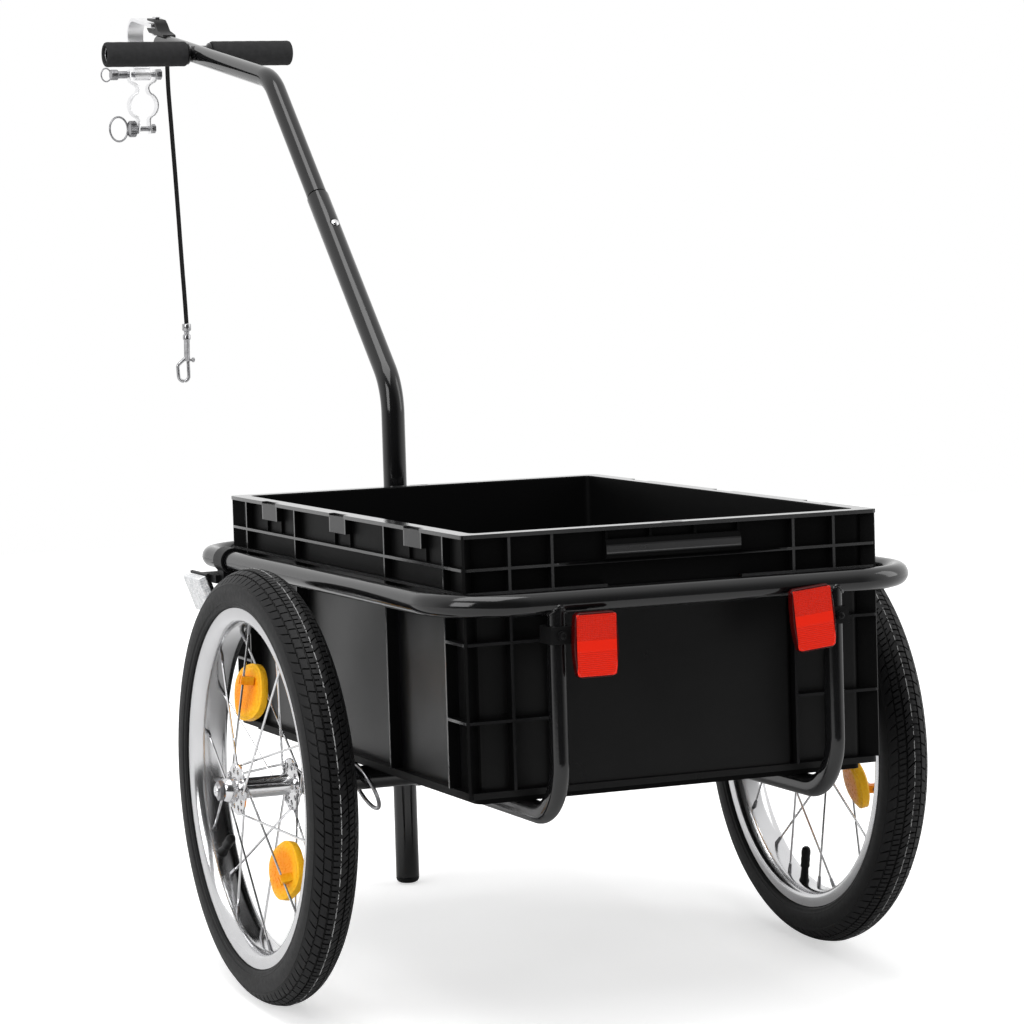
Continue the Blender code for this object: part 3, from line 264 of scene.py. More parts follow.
# Rows: a wave of a given pitch along one direction of the piece, for weave and moulded lines.
rows, rows_in, rows_out = group("even_rows", [("Pitch", 0.0015), ("X", 0.0), ("Y", 0.0), ("Z", 1.0)],
                                ["Wave"])
axes = object_axes(rows)
along = [times(rows, axes[axis], rows_in.outputs[axis]) for axis in "XYZ"]
total = plus(rows, plus(rows, along[0], along[1]), along[2])
turns = sums(rows, "DIVIDE", times(rows, total, 2 * math.pi), rows_in.outputs["Pitch"])
wave = plus(rows, times(rows, sums(rows, "SINE", turns, None), 0.5), 0.5)
rows.links.new(wave, rows_out.inputs["Wave"])


def grained(name, colour, roughness, fineness, patch, depth, strength, uneven=None, shades=None,
            metallic=0.0, reflect=0.5):
    """A material with grain in its skin, whose roughness and tone change in slow patches."""
    material, tree, shader = finish(name, colour, roughness, metallic, reflect=reflect)
    texture = use_group(tree, grain, Fineness=fineness, Patch=patch)
    bump(tree, shader, texture.outputs["Height"], depth, strength)
    if uneven:
        spread(tree, texture.outputs["Patches"], *uneven, shader.inputs["Roughness"])
    if shades:
        tones(tree, shader, texture.outputs["Patches"], *shades)
    return material, tree, shader, texture.outputs["Patches"]


NOSE = Vector((0, 1.091, 0.9339))
SHOULDER = Vector((0, 0.7062, 0.8723))
STRAP_Y = 1.072
STRAP_WIDTH = 0.008
STRAP_THICKNESS = 0.0016
STRAP_TURN = math.radians(41)
LOOP_WIDTH = 0.0084
HOOK_WIRE = 0.0021
EYE_WIRE = 0.0015
EYE_DROP = 0.0190
GAP = 0.0003
nose_along = (NOSE - SHOULDER).normalized()
nose_above = Vector((0, -nose_along.z, nose_along.y))
nose_angle = math.atan2(nose_along.z, nose_along.y)
strap_eye = NOSE + nose_along * ((STRAP_Y - NOSE.y) / nose_along.y) - nose_above * EYE_DROP
strap_top = level @ (strap_eye - Vector((0, 0, EYE_WIRE + GAP + STRAP_THICKNESS + 0.0010)))
strap_route = [Vector(p) for p in (
    (0.0000, 0.0000, 0.000), (0.0001, -0.0004, -0.012), (0.0006, -0.0010, -0.030), (0.0017, -0.0017, -0.050),
    (0.0029, -0.0025, -0.070), (0.0040, -0.0033, -0.090), (0.0052, -0.0040, -0.110), (0.0064, -0.0046, -0.130),
    (0.0076, -0.0050, -0.150), (0.0088, -0.0053, -0.170), (0.0100, -0.0055, -0.190), (0.0112, -0.0055, -0.210),
    (0.0125, -0.0055, -0.230), (0.0138, -0.0055, -0.250), (0.0152, -0.0055, -0.270), (0.0165, -0.0055, -0.290),
    (0.0178, -0.0055, -0.312))]
strap_path = smooth_route(strap_route, 6)
webbing, tree, shader = finish("black_webbing", (0.006, 0.006, 0.006), 0.78, reflect=0.15)
picks = use_group(tree, rows, Pitch=0.0013)
ribs = use_group(tree, rows, Pitch=0.0011, X=0.75, Y=0.66, Z=0.35)
weave = times(tree, picks.outputs["Wave"], ribs.outputs["Wave"])
bump(tree, shader, weave, 0.0003, 0.8)
# Painted shade: the weave is painted darker in its hollows and lighter on its crests.
tones(tree, shader, weave, (0.0025, 0.0025, 0.0026), (0.011, 0.011, 0.0115))


def webbing_section(width, thickness):
    half, thick = width / 2, thickness / 2
    upper = [(-half, 0), (-half * 0.93, -thick), (-half * 0.5, -thick * 0.86), (0, -thick),
             (half * 0.5, -thick * 0.86), (half * 0.93, -thick)]
    return upper + [(-a, -b) for a, b in upper]


strap_face = (math.cos(STRAP_TURN), math.sin(STRAP_TURN), 0)
strap_mesh = sweep(strap_path, webbing_section(STRAP_WIDTH, STRAP_THICKNESS), strap_face)
strap = put("safety_strap", strap_mesh, webbing, "chassis", Matrix.Translation(strap_top),
            ("strap",))


def rounded(points, radii, steps, closed=False):
    """A path whose corners are replaced by arcs, of one radius or one for each point."""
    corners = [Vector(p) for p in points]
    count = len(corners)
    path = []
    for i, corner in enumerate(corners):
        radius = radii[i] if isinstance(radii, tuple) else radii
        if not closed and i in (0, count - 1):
            path.append(corner)
            continue
        before = (corners[i - 1] - corner).normalized()
        after = (corners[(i + 1) % count] - corner).normalized()
        half = before.angle(after) / 2
        reach = radius / math.tan(half)
        centre = corner + (before + after).normalized() * radius / math.sin(half)
        first = corner + before * reach - centre
        bend = math.pi - 2 * half
        axis = first.cross(corner + after * reach - centre).normalized()
        for k in range(steps + 1):
            path.append(centre + Matrix.Rotation(bend * k / steps, 3, axis) @ first)
    return path


def merged(parts):
    """Several separate solids in one mesh."""
    whole = bmesh.new()
    for part in parts:
        mesh = bpy.data.meshes.new("solid")
        part.to_mesh(mesh)
        part.free()
        whole.from_mesh(mesh)
        bpy.data.meshes.remove(mesh)
    return whole


def turn_mesh(mesh_data, matrix):
    bmesh.ops.transform(mesh_data, matrix=matrix, verts=mesh_data.verts)
    return mesh_data


def circle(radius, sides):
    return [(radius * math.cos(2 * math.pi * i / sides), radius * math.sin(2 * math.pi * i / sides))
            for i in range(sides)]


def turned(profile, steps, axis="Z"):
    """A profile of (distance along the axis, radius) turned about the axis.

    A radius of zero at an end closes it with a point; other profiles are closed loops.
    """
    mesh_data = bmesh.new()
    spin = {"X": Matrix.Rotation(math.pi / 2, 3, "Y"), "Y": Matrix.Rotation(-math.pi / 2, 3, "X"),
            "Z": Matrix.Identity(3)}[axis]
    rings = []
    for height, radius in profile:
        if radius == 0:
            rings.append([mesh_data.verts.new(spin @ Vector((0, 0, height)))])
            continue
        rings.append([mesh_data.verts.new(spin @ Vector((a, b, height))) for a, b in circle(radius, steps)])
    pairs = list(zip(rings, rings[1:]))
    if profile[0][1] and profile[-1][1]:
        pairs.append((rings[-1], rings[0]))
    for low, high in pairs:
        for i in range(steps):
            k = (i + 1) % steps
            ring = [low[i % len(low)], low[k % len(low)], high[k % len(high)], high[i % len(high)]]
            mesh_data.faces.new(list(dict.fromkeys(ring)))
    return mesh_data


# The strap's top end is sewn into a loop round the eye. Its hook is turned and bent from plated
# steel: a swivel, a barrel with the gate's spring plunger and thumb knob, and a wire hook.
loop_place = level @ Matrix.Translation(strap_eye) @ Matrix.Rotation(nose_angle, 4, "X")
loop_radius = EYE_WIRE + GAP + STRAP_THICKNESS / 2
loop_ring = [Vector((b, 0, a)) for a, b in circle(loop_radius, 40)]
loop_section = [(b, a) for a, b in webbing_section(LOOP_WIDTH, STRAP_THICKNESS)]
sewn_loop = put("strap_sewn_loop", sweep(loop_ring, loop_section, (0, 0, 1), closed=True), webbing,
                "chassis", loop_place, ("strap_loop",))
hook_steel = grained("hook_steel", (0.45, 0.45, 0.46), 0.20, 800.0, 140.0, 0.00012, 0.4, (0.12, 0.32),
                     ((0.16, 0.16, 0.17), (0.70, 0.70, 0.71)), metallic=1.0)[0]
hook_place = Matrix.Translation(strap_top + strap_route[-1] - Vector((0, 0, GAP)))
swivel = [(0.0, 0), (0.0, 0.0050), (-0.0008, 0.0055), (-0.0072, 0.0055), (-0.0080, 0.0050), (-0.0090, 0.0034),
          (-0.0125, 0.0030), (-0.0132, 0.0044), (-0.0140, 0.0048), (-0.0185, 0.0048), (-0.0192, 0.0040),
          (-0.0200, 0.0036), (-0.0440, 0.0036), (-0.0450, 0.0030), (-0.0455, 0)]
bend = rounded([(0.0012, 0, -0.040), (0.0022, 0, -0.0690), (-0.0105, 0, -0.0700), (-0.0120, 0, -0.0500),
                (-0.0008, 0, -0.0405)], (0, 0.0060, 0.0070, 0.005, 0), 12)
knob = turned([(0.002, 0), (0.002, 0.0016), (0.0060, 0.0016), (0.0064, 0.0026), (0.0070, 0.0030),
               (0.0088, 0.0030), (0.0095, 0.0022), (0.0095, 0)], 20, "X")
turn_mesh(knob, Matrix.Translation((0, 0, -0.0440)))
hook_mesh = merged([turned(swivel, 28), sweep(bend, circle(HOOK_WIRE, 14), (0, 1, 0)), knob])
snap_hook = put("snap_hook_steel", hook_mesh, hook_steel, "chassis", hook_place, ("snap_hook",))


# The crate is an injection-moulded Euro stacking box, 600 by 400 mm, in black polypropylene: a thin
# wall behind a ribbed band, latch pockets under the rim, a hand hold at each end and ribbed corners.
CRATE_WIDTH = 0.400
CRATE_LENGTH = 0.600
CRATE_Y = 0.0115
CRATE_BASE_Z = 0.2113
CRATE_TOP_Z = 0.444
CRATE_HEIGHT = CRATE_TOP_Z - CRATE_BASE_Z
CRATE_CORNER = 0.005
WALL_CORNER = 0.010
RIM_DEPTH = 0.0035
RIB = 0.0025
BAND_INSET = 0.0075
WALL_INSET = 0.0115
INNER_INSET = 0.0150
FOOT_INSET = 0.0140
BAND_BOTTOM = CRATE_HEIGHT - 0.052
MID_RIB = CRATE_HEIGHT - 0.0290
LATCH_YS = (-0.186, 0.0, 0.186)
LATCH_HALF = 0.021
LATCH_LEG = 0.0185
NOTCH_DROP = 0.0018
NOTCH_HALF = 0.010
LATCH_DROP = 0.0175
HOLD_HALF = 0.0640
HOLD_LOW = CRATE_HEIGHT - 0.0300
HOLD_HIGH = CRATE_HEIGHT - 0.0110
PANEL_HALF = 0.110
END_RIBS = (-0.156, -0.116, 0.116, 0.156)
SIDE_RIBS = (-0.2545, -0.1165, 0.1165, 0.2545)
HOLD_RIBS = (-0.0635, -0.0215, 0.0215, 0.0635)
SHELVES = (0.0717, 0.1387)
EDGE_REACH = 0.0011
RIM_REACH = 0.0012
FLOOR_OVERLAP = 0.0012
EDGE_ROUNDING = 0.0006
FLOOR_THICKNESS = 0.003
FLOOR_RIB_DEPTH = 0.0035


def corner_radius(inset):
    return CRATE_CORNER if inset < 0.004 else WALL_CORNER + WALL_INSET - inset


def cell_mesh(columns, insets, heights, filled, place):
    """The skin of the filled cells in a ring of columns; like faces side by side become one."""
    mesh_data = bmesh.new()
    corners = {}
    count = len(columns)

    def corner(i, j, k):
        key = (i % count, j, k)
        if key not in corners:
            corners[key] = mesh_data.verts.new(place(columns[i % count], insets[j], heights[k]))
        return corners[key]

    def solid(i, j, k):
        if not (0 <= j < len(insets) - 1 and 0 <= k < len(heights) - 1):
            return False
        return filled(i % count, (insets[j] + insets[j + 1]) / 2, (heights[k] + heights[k + 1]) / 2)

    for i in range(count):
        for j in range(len(insets) - 1):
            for k in range(len(heights) - 1):
                if not solid(i, j, k):
                    continue
                faces = (((i - 1, j, k), ((0, 0, 0), (0, 0, 1), (0, 1, 1), (0, 1, 0))),
                         ((i + 1, j, k), ((1, 0, 0), (1, 1, 0), (1, 1, 1), (1, 0, 1))),
                         ((i, j - 1, k), ((0, 0, 0), (1, 0, 0), (1, 0, 1), (0, 0, 1))),
                         ((i, j + 1, k), ((0, 1, 0), (0, 1, 1), (1, 1, 1), (1, 1, 0))),
                         ((i, j, k - 1), ((0, 0, 0), (0, 1, 0), (1, 1, 0), (1, 0, 0))),
                         ((i, j, k + 1), ((0, 0, 1), (1, 0, 1), (1, 1, 1), (0, 1, 1))))
                for beside, shape in faces:
                    if not solid(*beside):
                        mesh_data.faces.new([corner(i + a, j + b, k + c) for a, b, c in shape])
    return mesh_data


def both(*values):
    return sorted({sign * value for value in values for sign in (-1, 1)})


side_lines = []
for y in SIDE_RIBS:
    side_lines += [y - RIB / 2, y + RIB / 2]
for y in LATCH_YS:
    side_lines += [y - LATCH_HALF, y - LATCH_LEG, y + LATCH_LEG, y + LATCH_HALF]
side_lines.sort()
end_lines = both(PANEL_HALF, NOTCH_HALF)
for x in (*END_RIBS, *HOLD_RIBS):
    end_lines += [x - RIB / 2, x + RIB / 2]
end_lines.sort()
crate_columns = []
for quarter, (sign_x, sign_y) in enumerate(((1, 1), (-1, 1), (-1, -1), (1, -1))):
    crate_columns += [("corner", (sign_x, sign_y), 90 * quarter + step, edge)
                      for step, edge in ((0, 0), (13, 0), (26, 0), (45, -1), (45, 1), (64, 0), (77, 0),
                                         (90, 0))]
    if quarter % 2 == 0:
        crate_columns += [("end", sign_y, x, 0) for x in (end_lines[::-1] if sign_y > 0 else end_lines)]
    else:
        crate_columns += [("side", sign_x, y, 0) for y in (side_lines[::-1] if sign_x < 0 else side_lines)]


def crate_point(column, inset, z):
    kind, sign, spot_at, edge = column
    if kind == "corner":
        radius = corner_radius(inset)
        angle = math.radians(spot_at) + edge * math.asin(RIB / 2 / radius)
        return Vector((sign[0] * (CRATE_WIDTH / 2 - inset - radius) + radius * math.cos(angle),
                       sign[1] * (CRATE_LENGTH / 2 - inset - radius) + radius * math.sin(angle), z))
    if kind == "side":
        return Vector((sign * (CRATE_WIDTH / 2 - inset), spot_at, z))
    if abs(spot_at) < HOLD_HALF + RIB and inset < 0.001 and HOLD_LOW <= z <= HOLD_HIGH:
        round_off = abs(2 * (z - HOLD_LOW) / (HOLD_HIGH - HOLD_LOW) - 1) ** 2.6
        inset = inset + 0.0032 * round_off
    return Vector((spot_at, sign * (CRATE_LENGTH / 2 - inset), z))


def near(value, places, reach):
    return any(abs(value - place) < reach for place in places)


def crate_filled(i, inset, z):
    here, beyond = crate_columns[i], crate_columns[(i + 1) % len(crate_columns)]
    kind = here[0] if here[0] == beyond[0] else "bend"
    middle = (here[2] + beyond[2]) / 2
    side_zone = kind == "side" and abs(middle) < SIDE_RIBS[-1]
    end_zone = kind == "end" and abs(middle) < END_RIBS[2]
    latch = kind == "side" and near(middle, LATCH_YS, LATCH_HALF)
    leg = latch and not near(middle, LATCH_YS, LATCH_LEG)
    if z > CRATE_HEIGHT - NOTCH_DROP and latch and not leg and inset < 0.0050:
        return False
    if (z > CRATE_HEIGHT - NOTCH_DROP and kind == "end" and abs(middle) < NOTCH_HALF
            and 0.003 < inset < BAND_INSET):
        return False
    if z > CRATE_HEIGHT - RIM_DEPTH:
        return inset < INNER_INSET
    if z < 0.0060:
        return inset > FOOT_INSET and z > 0.0
    if inset > INNER_INSET:
        return False
    if inset > WALL_INSET:
        return True
    if z < 0.0115:
        return inset > 0.003
    if z > BAND_BOTTOM and inset > BAND_INSET:
        return True
    if inset < 0.0006:
        return False
    if kind == "corner" and here[3] == -1 and beyond[3] == 1:
        return True
    if kind == "side" and near(middle, SIDE_RIBS, RIB / 2):
        return True
    if kind == "end" and near(middle, END_RIBS, RIB / 2):
        return True
    if MID_RIB - RIB < z < MID_RIB or BAND_BOTTOM < z < BAND_BOTTOM + RIB:
        return not (kind == "end" and abs(middle) < HOLD_HALF and z < MID_RIB - RIB)
    if kind == "end" and abs(middle) < HOLD_HALF and HOLD_LOW < z < HOLD_HIGH:
        return True
    if kind == "end" and near(middle, HOLD_RIBS, RIB / 2) and z > HOLD_HIGH:
        return inset > 0.003
    if latch and z > CRATE_HEIGHT - LATCH_DROP:
        return True
    if leg and z > MID_RIB:
        return inset > 0.0050
    if kind == "end" and abs(middle) < PANEL_HALF and z < BAND_BOTTOM:
        return inset > 0.0060
    if near(z, SHELVES, RIB / 2):
        return not (side_zone or end_zone)
    return False


crate_insets = [0.0, 0.0006, 0.0030, 0.0050, 0.0060, BAND_INSET, WALL_INSET, FOOT_INSET, INNER_INSET, 0.0185]
hold_steps = [HOLD_LOW + (HOLD_HIGH - HOLD_LOW) * step / 6 for step in range(7)]
crate_heights = [0.0, 0.0060, 0.0115, BAND_BOTTOM, BAND_BOTTOM + RIB, MID_RIB - RIB, MID_RIB,
                 CRATE_HEIGHT - LATCH_DROP, CRATE_HEIGHT - RIM_DEPTH, CRATE_HEIGHT - NOTCH_DROP, CRATE_HEIGHT]
crate_heights += [z + step for z in SHELVES for step in (-RIB / 2, RIB / 2)] + hold_steps
walls = cell_mesh(crate_columns, crate_insets, sorted(set(crate_heights)), crate_filled, crate_point)
bmesh.ops.dissolve_limit(walls, angle_limit=math.radians(1.0), verts=walls.verts[:], edges=walls.edges[:])


def plastic_skin(name, roughness, reflect, dark, light, rubbed_to=0.16):
    """Crate plastic whose outermost edges and rim are worn smooth by rubbing and painted a little greyer, a
    painted highlight.
    """
    material, tree, shader, patches = grained(name, dark, roughness, 1500.0, 9.0, 0.00010, 0.30,
                                              reflect=reflect)
    axes = object_axes(tree)
    reach = [sums(tree, "GREATER_THAN", sums(tree, "ABSOLUTE", axes[axis], None), half - EDGE_REACH)
             for axis, half in (("X", CRATE_WIDTH / 2), ("Y", CRATE_LENGTH / 2))]
    top = sums(tree, "GREATER_THAN", axes["Z"], CRATE_HEIGHT - RIM_REACH)
    rubbed_and_highlit = sums(tree, "MAXIMUM", sums(tree, "MAXIMUM", *reach), top)
    uneven = times(tree, sums(tree, "SUBTRACT", patches, 0.5), 0.22)
    rough = sums(tree, "SUBTRACT", plus(tree, uneven, roughness), times(tree, rubbed_and_highlit, roughness - rubbed_to))
    tree.links.new(sums(tree, "MAXIMUM", rough, 0.04), shader.inputs["Roughness"])
    # Painted highlight: the outermost edges and rim get a lighter base colour.
    tones(tree, shader, times(tree, rubbed_and_highlit, patches), dark, light)
    return material


# The walls' other faces, band and ribbed corners among them, and the floor take a matt copy of the plastic:
# rougher, and darker in colour and reflection as painted shade.
crate_shaded_matt = plastic_skin("crate_matt_and_shaded", 0.46, 0.06, (0.0028, 0.0028, 0.0029), (0.040, 0.040, 0.041))
crate_place = level @ Matrix.Translation((0, CRATE_Y, CRATE_BASE_Z))
crate_walls = put("crate_walls", walls, crate_shaded_matt, "chassis", crate_place, ("crate",),
                  EDGE_ROUNDING)
# A glossier copy goes on the smooth panels below the band and the latch faces; a lighter, shinier one on the
# rim top and outermost edges is a painted highlight.
for material in (plastic_skin("crate_smooth_panel", 0.30, 0.27, (0.0040, 0.0040, 0.0041),
                              (0.020, 0.020, 0.021)),
                 plastic_skin("crate_worn_and_highlit_edges", 0.16, 0.90, (0.0100, 0.0100, 0.0102), (0.050, 0.050, 0.051),
                              0.04)):
    crate_walls.data.materials.append(material)
SMOOTH_PANEL, WORN_HIGHLIT_EDGE = 1, 2
for face in crate_walls.data.polygons:
    middle, facing = face.center, face.normal
    to_side, to_end = CRATE_WIDTH / 2 - abs(middle.x), CRATE_LENGTH / 2 - abs(middle.y)
    side_panel = abs(facing.x) > 0.9 and abs(to_side - WALL_INSET) < 0.0008
    end_panel = abs(facing.y) > 0.9 and to_end < WALL_INSET + 0.001
    latch_face = abs(facing.x) > 0.9 and to_side < 0.001 and near(middle.y, LATCH_YS, 0.004)
    if (middle.z < BAND_BOTTOM and (side_panel or end_panel)) or (latch_face and middle.z > MID_RIB):
        face.material_index = SMOOTH_PANEL
    elif (facing.z > 0.9 and middle.z > CRATE_HEIGHT - 0.0025) or min(to_side, to_end) < 0.0007:
        face.material_index = WORN_HIGHLIT_EDGE


# The crate's floor is moulded in one with its walls, in the same black polypropylene: a flat plate
# a little above the foot, with stiffening ribs on its underside.
def plate(outline, thickness, normal="Z"):
    """A flat outline given thickness, centred on its own plane."""
    mesh_data = bmesh.new()
    facing = {"X": Matrix.Rotation(math.pi / 2, 3, "Z") @ Matrix.Rotation(math.pi / 2, 3, "X"),
              "Y": Matrix.Rotation(math.pi / 2, 3, "X"), "Z": Matrix.Identity(3)}[normal]
    base = [mesh_data.verts.new(facing @ Vector((p[0], p[1], -thickness / 2))) for p in outline]
    face = mesh_data.faces.new(base)
    lifted = bmesh.ops.extrude_face_region(mesh_data, geom=[face])["geom"]
    verts = [item for item in lifted if isinstance(item, bmesh.types.BMVert)]
    bmesh.ops.translate(mesh_data, verts=verts, vec=facing @ Vector((0, 0, thickness)))
    return mesh_data


def box(size, centre):
    mesh_data = bmesh.new()
    bmesh.ops.create_cube(mesh_data, size=1.0)
    bmesh.ops.scale(mesh_data, vec=size, verts=mesh_data.verts)
    bmesh.ops.translate(mesh_data, vec=centre, verts=mesh_data.verts)
    return mesh_data


def carved(body, *steps):
    """A solid after Boolean steps, each an operation and its tools."""
    def blank(mesh_data):
        mesh = bpy.data.meshes.new("blank")
        bmesh.ops.recalc_face_normals(mesh_data, faces=mesh_data.faces)
        mesh_data.to_mesh(mesh)
        mesh_data.free()
        obj = bpy.data.objects.new("blank", mesh)
        bpy.context.scene.collection.objects.link(obj)
        return obj

    base = blank(body)
    tools = []
    for operation, pieces in steps:
        for piece in pieces:
            tools.append(blank(piece))
            modifier = base.modifiers.new(operation, "BOOLEAN")
            modifier.operation = operation
            modifier.solver = "EXACT"
            modifier.object = tools[-1]
    bpy.context.view_layer.update()
    seen = base.evaluated_get(bpy.context.evaluated_depsgraph_get())
    result = bmesh.new()
    result.from_mesh(seen.to_mesh())
    seen.to_mesh_clear()
    for obj in (base, *tools):
        mesh = obj.data
        bpy.data.objects.remove(obj)
        bpy.data.meshes.remove(mesh)
    return result


half_x = CRATE_WIDTH / 2 - INNER_INSET + FLOOR_OVERLAP
half_y = CRATE_LENGTH / 2 - INNER_INSET + FLOOR_OVERLAP
floor_corners = [(-half_x, -half_y, 0), (half_x, -half_y, 0), (half_x, half_y, 0), (-half_x, half_y, 0)]
floor_outline = rounded(floor_corners, 0.006, 4, closed=True)
floor_slab = turn_mesh(plate(floor_outline, FLOOR_THICKNESS), Matrix.Translation((0, 0, 0.0055)))
long_ribs = merged([box((RIB, CRATE_LENGTH - 0.036, FLOOR_RIB_DEPTH), (x, 0, 0.00275))
                    for x in (-0.07, 0, 0.07)])
cross_ribs = merged([box((CRATE_WIDTH - 0.036, RIB, FLOOR_RIB_DEPTH), (0, y, 0.00275)) for y in both(0.1, 0.2)])
crate_floor = carved(floor_slab, ("UNION", [long_ribs, cross_ribs]))
put("crate_floor", crate_floor, crate_shaded_matt, "chassis", crate_place, (), EDGE_ROUNDING / 2)


# The frame is 20 mm steel tube, bent and welded, then powder-coated in glossy black: a rail round the
# crate, two flat-oval hoops that hang from it under the crate's floor, and a crossbar between them.
RAIL_RADIUS = 0.010
RAIL_Z = 0.386
RAIL_HALF_WIDTH = 0.226
RAIL_REAR_Y = -0.327
RAIL_CORNERS = (0.070, 0.070, 0.060, 0.060)
LEG_Y = 0.371
SOCKET_RADIUS = 0.015
HOOP_X = 0.132
HOOP_WIDTH = 0.015
HOOP_DEPTH = 0.020
HOOP_BEND = 0.050
CROSSBAR_Z = 0.250
rail_front_y = LEG_Y - SOCKET_RADIUS - RAIL_RADIUS - GAP
powder_coat = grained("black_powder_coat", (0.004, 0.004, 0.0043), 0.11, 420.0, 16.0, 0.00010, 0.30,
                      (0.07, 0.15), ((0.0030, 0.0030, 0.0032), (0.0060, 0.0060, 0.0064)), reflect=0.50)[0]


def oval(width, depth, arc_steps):
    """A flat-oval tube section, long along its second axis."""
    radius = width / 2
    reach = depth / 2 - radius
    return [(radius * math.cos(start + math.pi * i / arc_steps),
             sign * reach + radius * math.sin(start + math.pi * i / arc_steps))
            for sign, start in ((1, 0.0), (-1, math.pi)) for i in range(arc_steps + 1)]


def rod(start, end, radius, sides, side=(1, 0, 0)):
    return sweep([Vector(start), Vector(end)], circle(radius, sides), side)


def weld_bead(path, radius=0.0017):
    """A closed bead of weld, rippled as the torch leaves it."""
    bead = sweep(path, circle(radius, 8), (0.3, 0.5, 0.8), closed=True)
    bead.verts.ensure_lookup_table()
    for i, point in enumerate(path):
        swell = 1.0 + 0.16 * math.sin(i * 2 * math.pi / 4)
        for vertex in bead.verts[8 * i:8 * i + 8]:
            vertex.co = point + (vertex.co - point) * swell
    return bead


def oval_reach(offset, width=HOOP_WIDTH, depth=HOOP_DEPTH):
    """Half the oval tube's width at a distance from its middle."""
    over = max(abs(offset) - (depth - width) / 2, 0.0)
    return math.sqrt(max((width / 2) ** 2 - over ** 2, 0.0))


rail_path = rounded([(-RAIL_HALF_WIDTH, RAIL_REAR_Y, RAIL_Z), (RAIL_HALF_WIDTH, RAIL_REAR_Y, RAIL_Z),
                     (RAIL_HALF_WIDTH, rail_front_y, RAIL_Z), (-RAIL_HALF_WIDTH, rail_front_y, RAIL_Z)],
                    RAIL_CORNERS, 22, closed=True)
rail_mesh = sweep(rail_path, circle(RAIL_RADIUS, 32), (0, 0, 1), closed=True)
put("rail_tube", rail_mesh, powder_coat, "chassis", level, ("rail",))
hoop_low_z = CRATE_BASE_Z - GAP - HOOP_DEPTH / 2
hoop_top_z = RAIL_Z - 0.001
hoop_path = rounded([(0, RAIL_REAR_Y, hoop_top_z), (0, RAIL_REAR_Y, hoop_low_z),
                     (0, rail_front_y, hoop_low_z), (0, rail_front_y, hoop_top_z)], HOOP_BEND, 20)
for side, sign in (("left", -1), ("right", 1)):
    place = level @ Matrix.Translation((sign * HOOP_X, 0, 0))
    hoop_mesh = sweep(hoop_path, oval(HOOP_WIDTH, HOOP_DEPTH, 12), (1, 0, 0))
    put("hoop_tube_" + side, hoop_mesh, powder_coat, "chassis", place, ("hoop_" + side,))
    beads = []
    for y in (RAIL_REAR_Y, rail_front_y):
        weld = []
        for a, b in oval(HOOP_WIDTH + 0.0006, HOOP_DEPTH, 28):
            out = b * 0.985
            drop = math.sqrt(RAIL_RADIUS ** 2 - min(out, 0.0098) ** 2)
            weld.append(Vector((a, y + out, RAIL_Z - drop - 0.0003)))
        beads.append(weld_bead(weld, 0.0014))
    put("hoop_welds_" + side, merged(beads), powder_coat, "chassis", place)
crossbar_end = HOOP_X - 0.004
crossbar = rod((-crossbar_end, rail_front_y, CROSSBAR_Z), (crossbar_end, rail_front_y, CROSSBAR_Z),
               RAIL_RADIUS, 32, (0, 0, 1))
put("crossbar_tube", crossbar, powder_coat, "chassis", level, ("front_crossbar",))
beads = []
for sign in (-1, 1):
    beads.append(weld_bead([Vector((sign * (HOOP_X - oval_reach(a) - 0.0004), rail_front_y + a, CROSSBAR_Z + b))
                            for a, b in circle(RAIL_RADIUS, 48)]))
put("crossbar_welds", merged(beads), powder_coat, "chassis", level)


# The axle is three lengths of 22 mm tube welded to the hoops; the outer two are open at the end,
# where each wheel's spindle goes in and is held by a pin through both.
AXLE_RADIUS = 0.011
AXLE_BORE_RADIUS = 0.0083
AXLE_END_X = 0.2455
AXLE_PIN_X = 0.195
PIN_HOLE_RADIUS = 0.0023
axle_place = level @ Matrix.Translation((0, 0, WHEEL_RADIUS))
middle_tube = rod((-HOOP_X + 0.002, 0, 0), (HOOP_X - 0.002, 0, 0), AXLE_RADIUS, 32, (0, 0, 1))
put("axle_tube_long", middle_tube, powder_coat, "chassis", axle_place, ("axle_tube_middle",))
for side, sign in (("left", -1), ("right", 1)):
    ends = [(HOOP_X + 0.002, 0), (HOOP_X + 0.002, AXLE_RADIUS), (AXLE_END_X - 0.0006, AXLE_RADIUS),
            (AXLE_END_X, AXLE_RADIUS - 0.0006), (AXLE_END_X, AXLE_BORE_RADIUS + 0.0004),
            (AXLE_END_X - 0.0004, AXLE_BORE_RADIUS), (0.18, AXLE_BORE_RADIUS), (0.18, 0)]
    hole = rod((sign * AXLE_PIN_X, 0, -0.02), (sign * AXLE_PIN_X, 0, 0.02), PIN_HOLE_RADIUS, 20)
    socket = carved(turned([(sign * x, r) for x, r in ends], 32, "X"), ("DIFFERENCE", [hole]))
    put("axle_socket_" + side, socket, powder_coat, "chassis", axle_place, ("axle_tube_" + side,))
beads = []
for middle in (-HOOP_X, HOOP_X):
    for face in (-1, 1):
        weld = [Vector((middle + face * (oval_reach(WHEEL_RADIUS + z - hoop_low_z) + 0.0003), y, z))
                for y, z in circle(AXLE_RADIUS, 48)]
        beads.append(weld_bead(weld))
put("axle_welds", merged(beads), powder_coat, "chassis", axle_place)


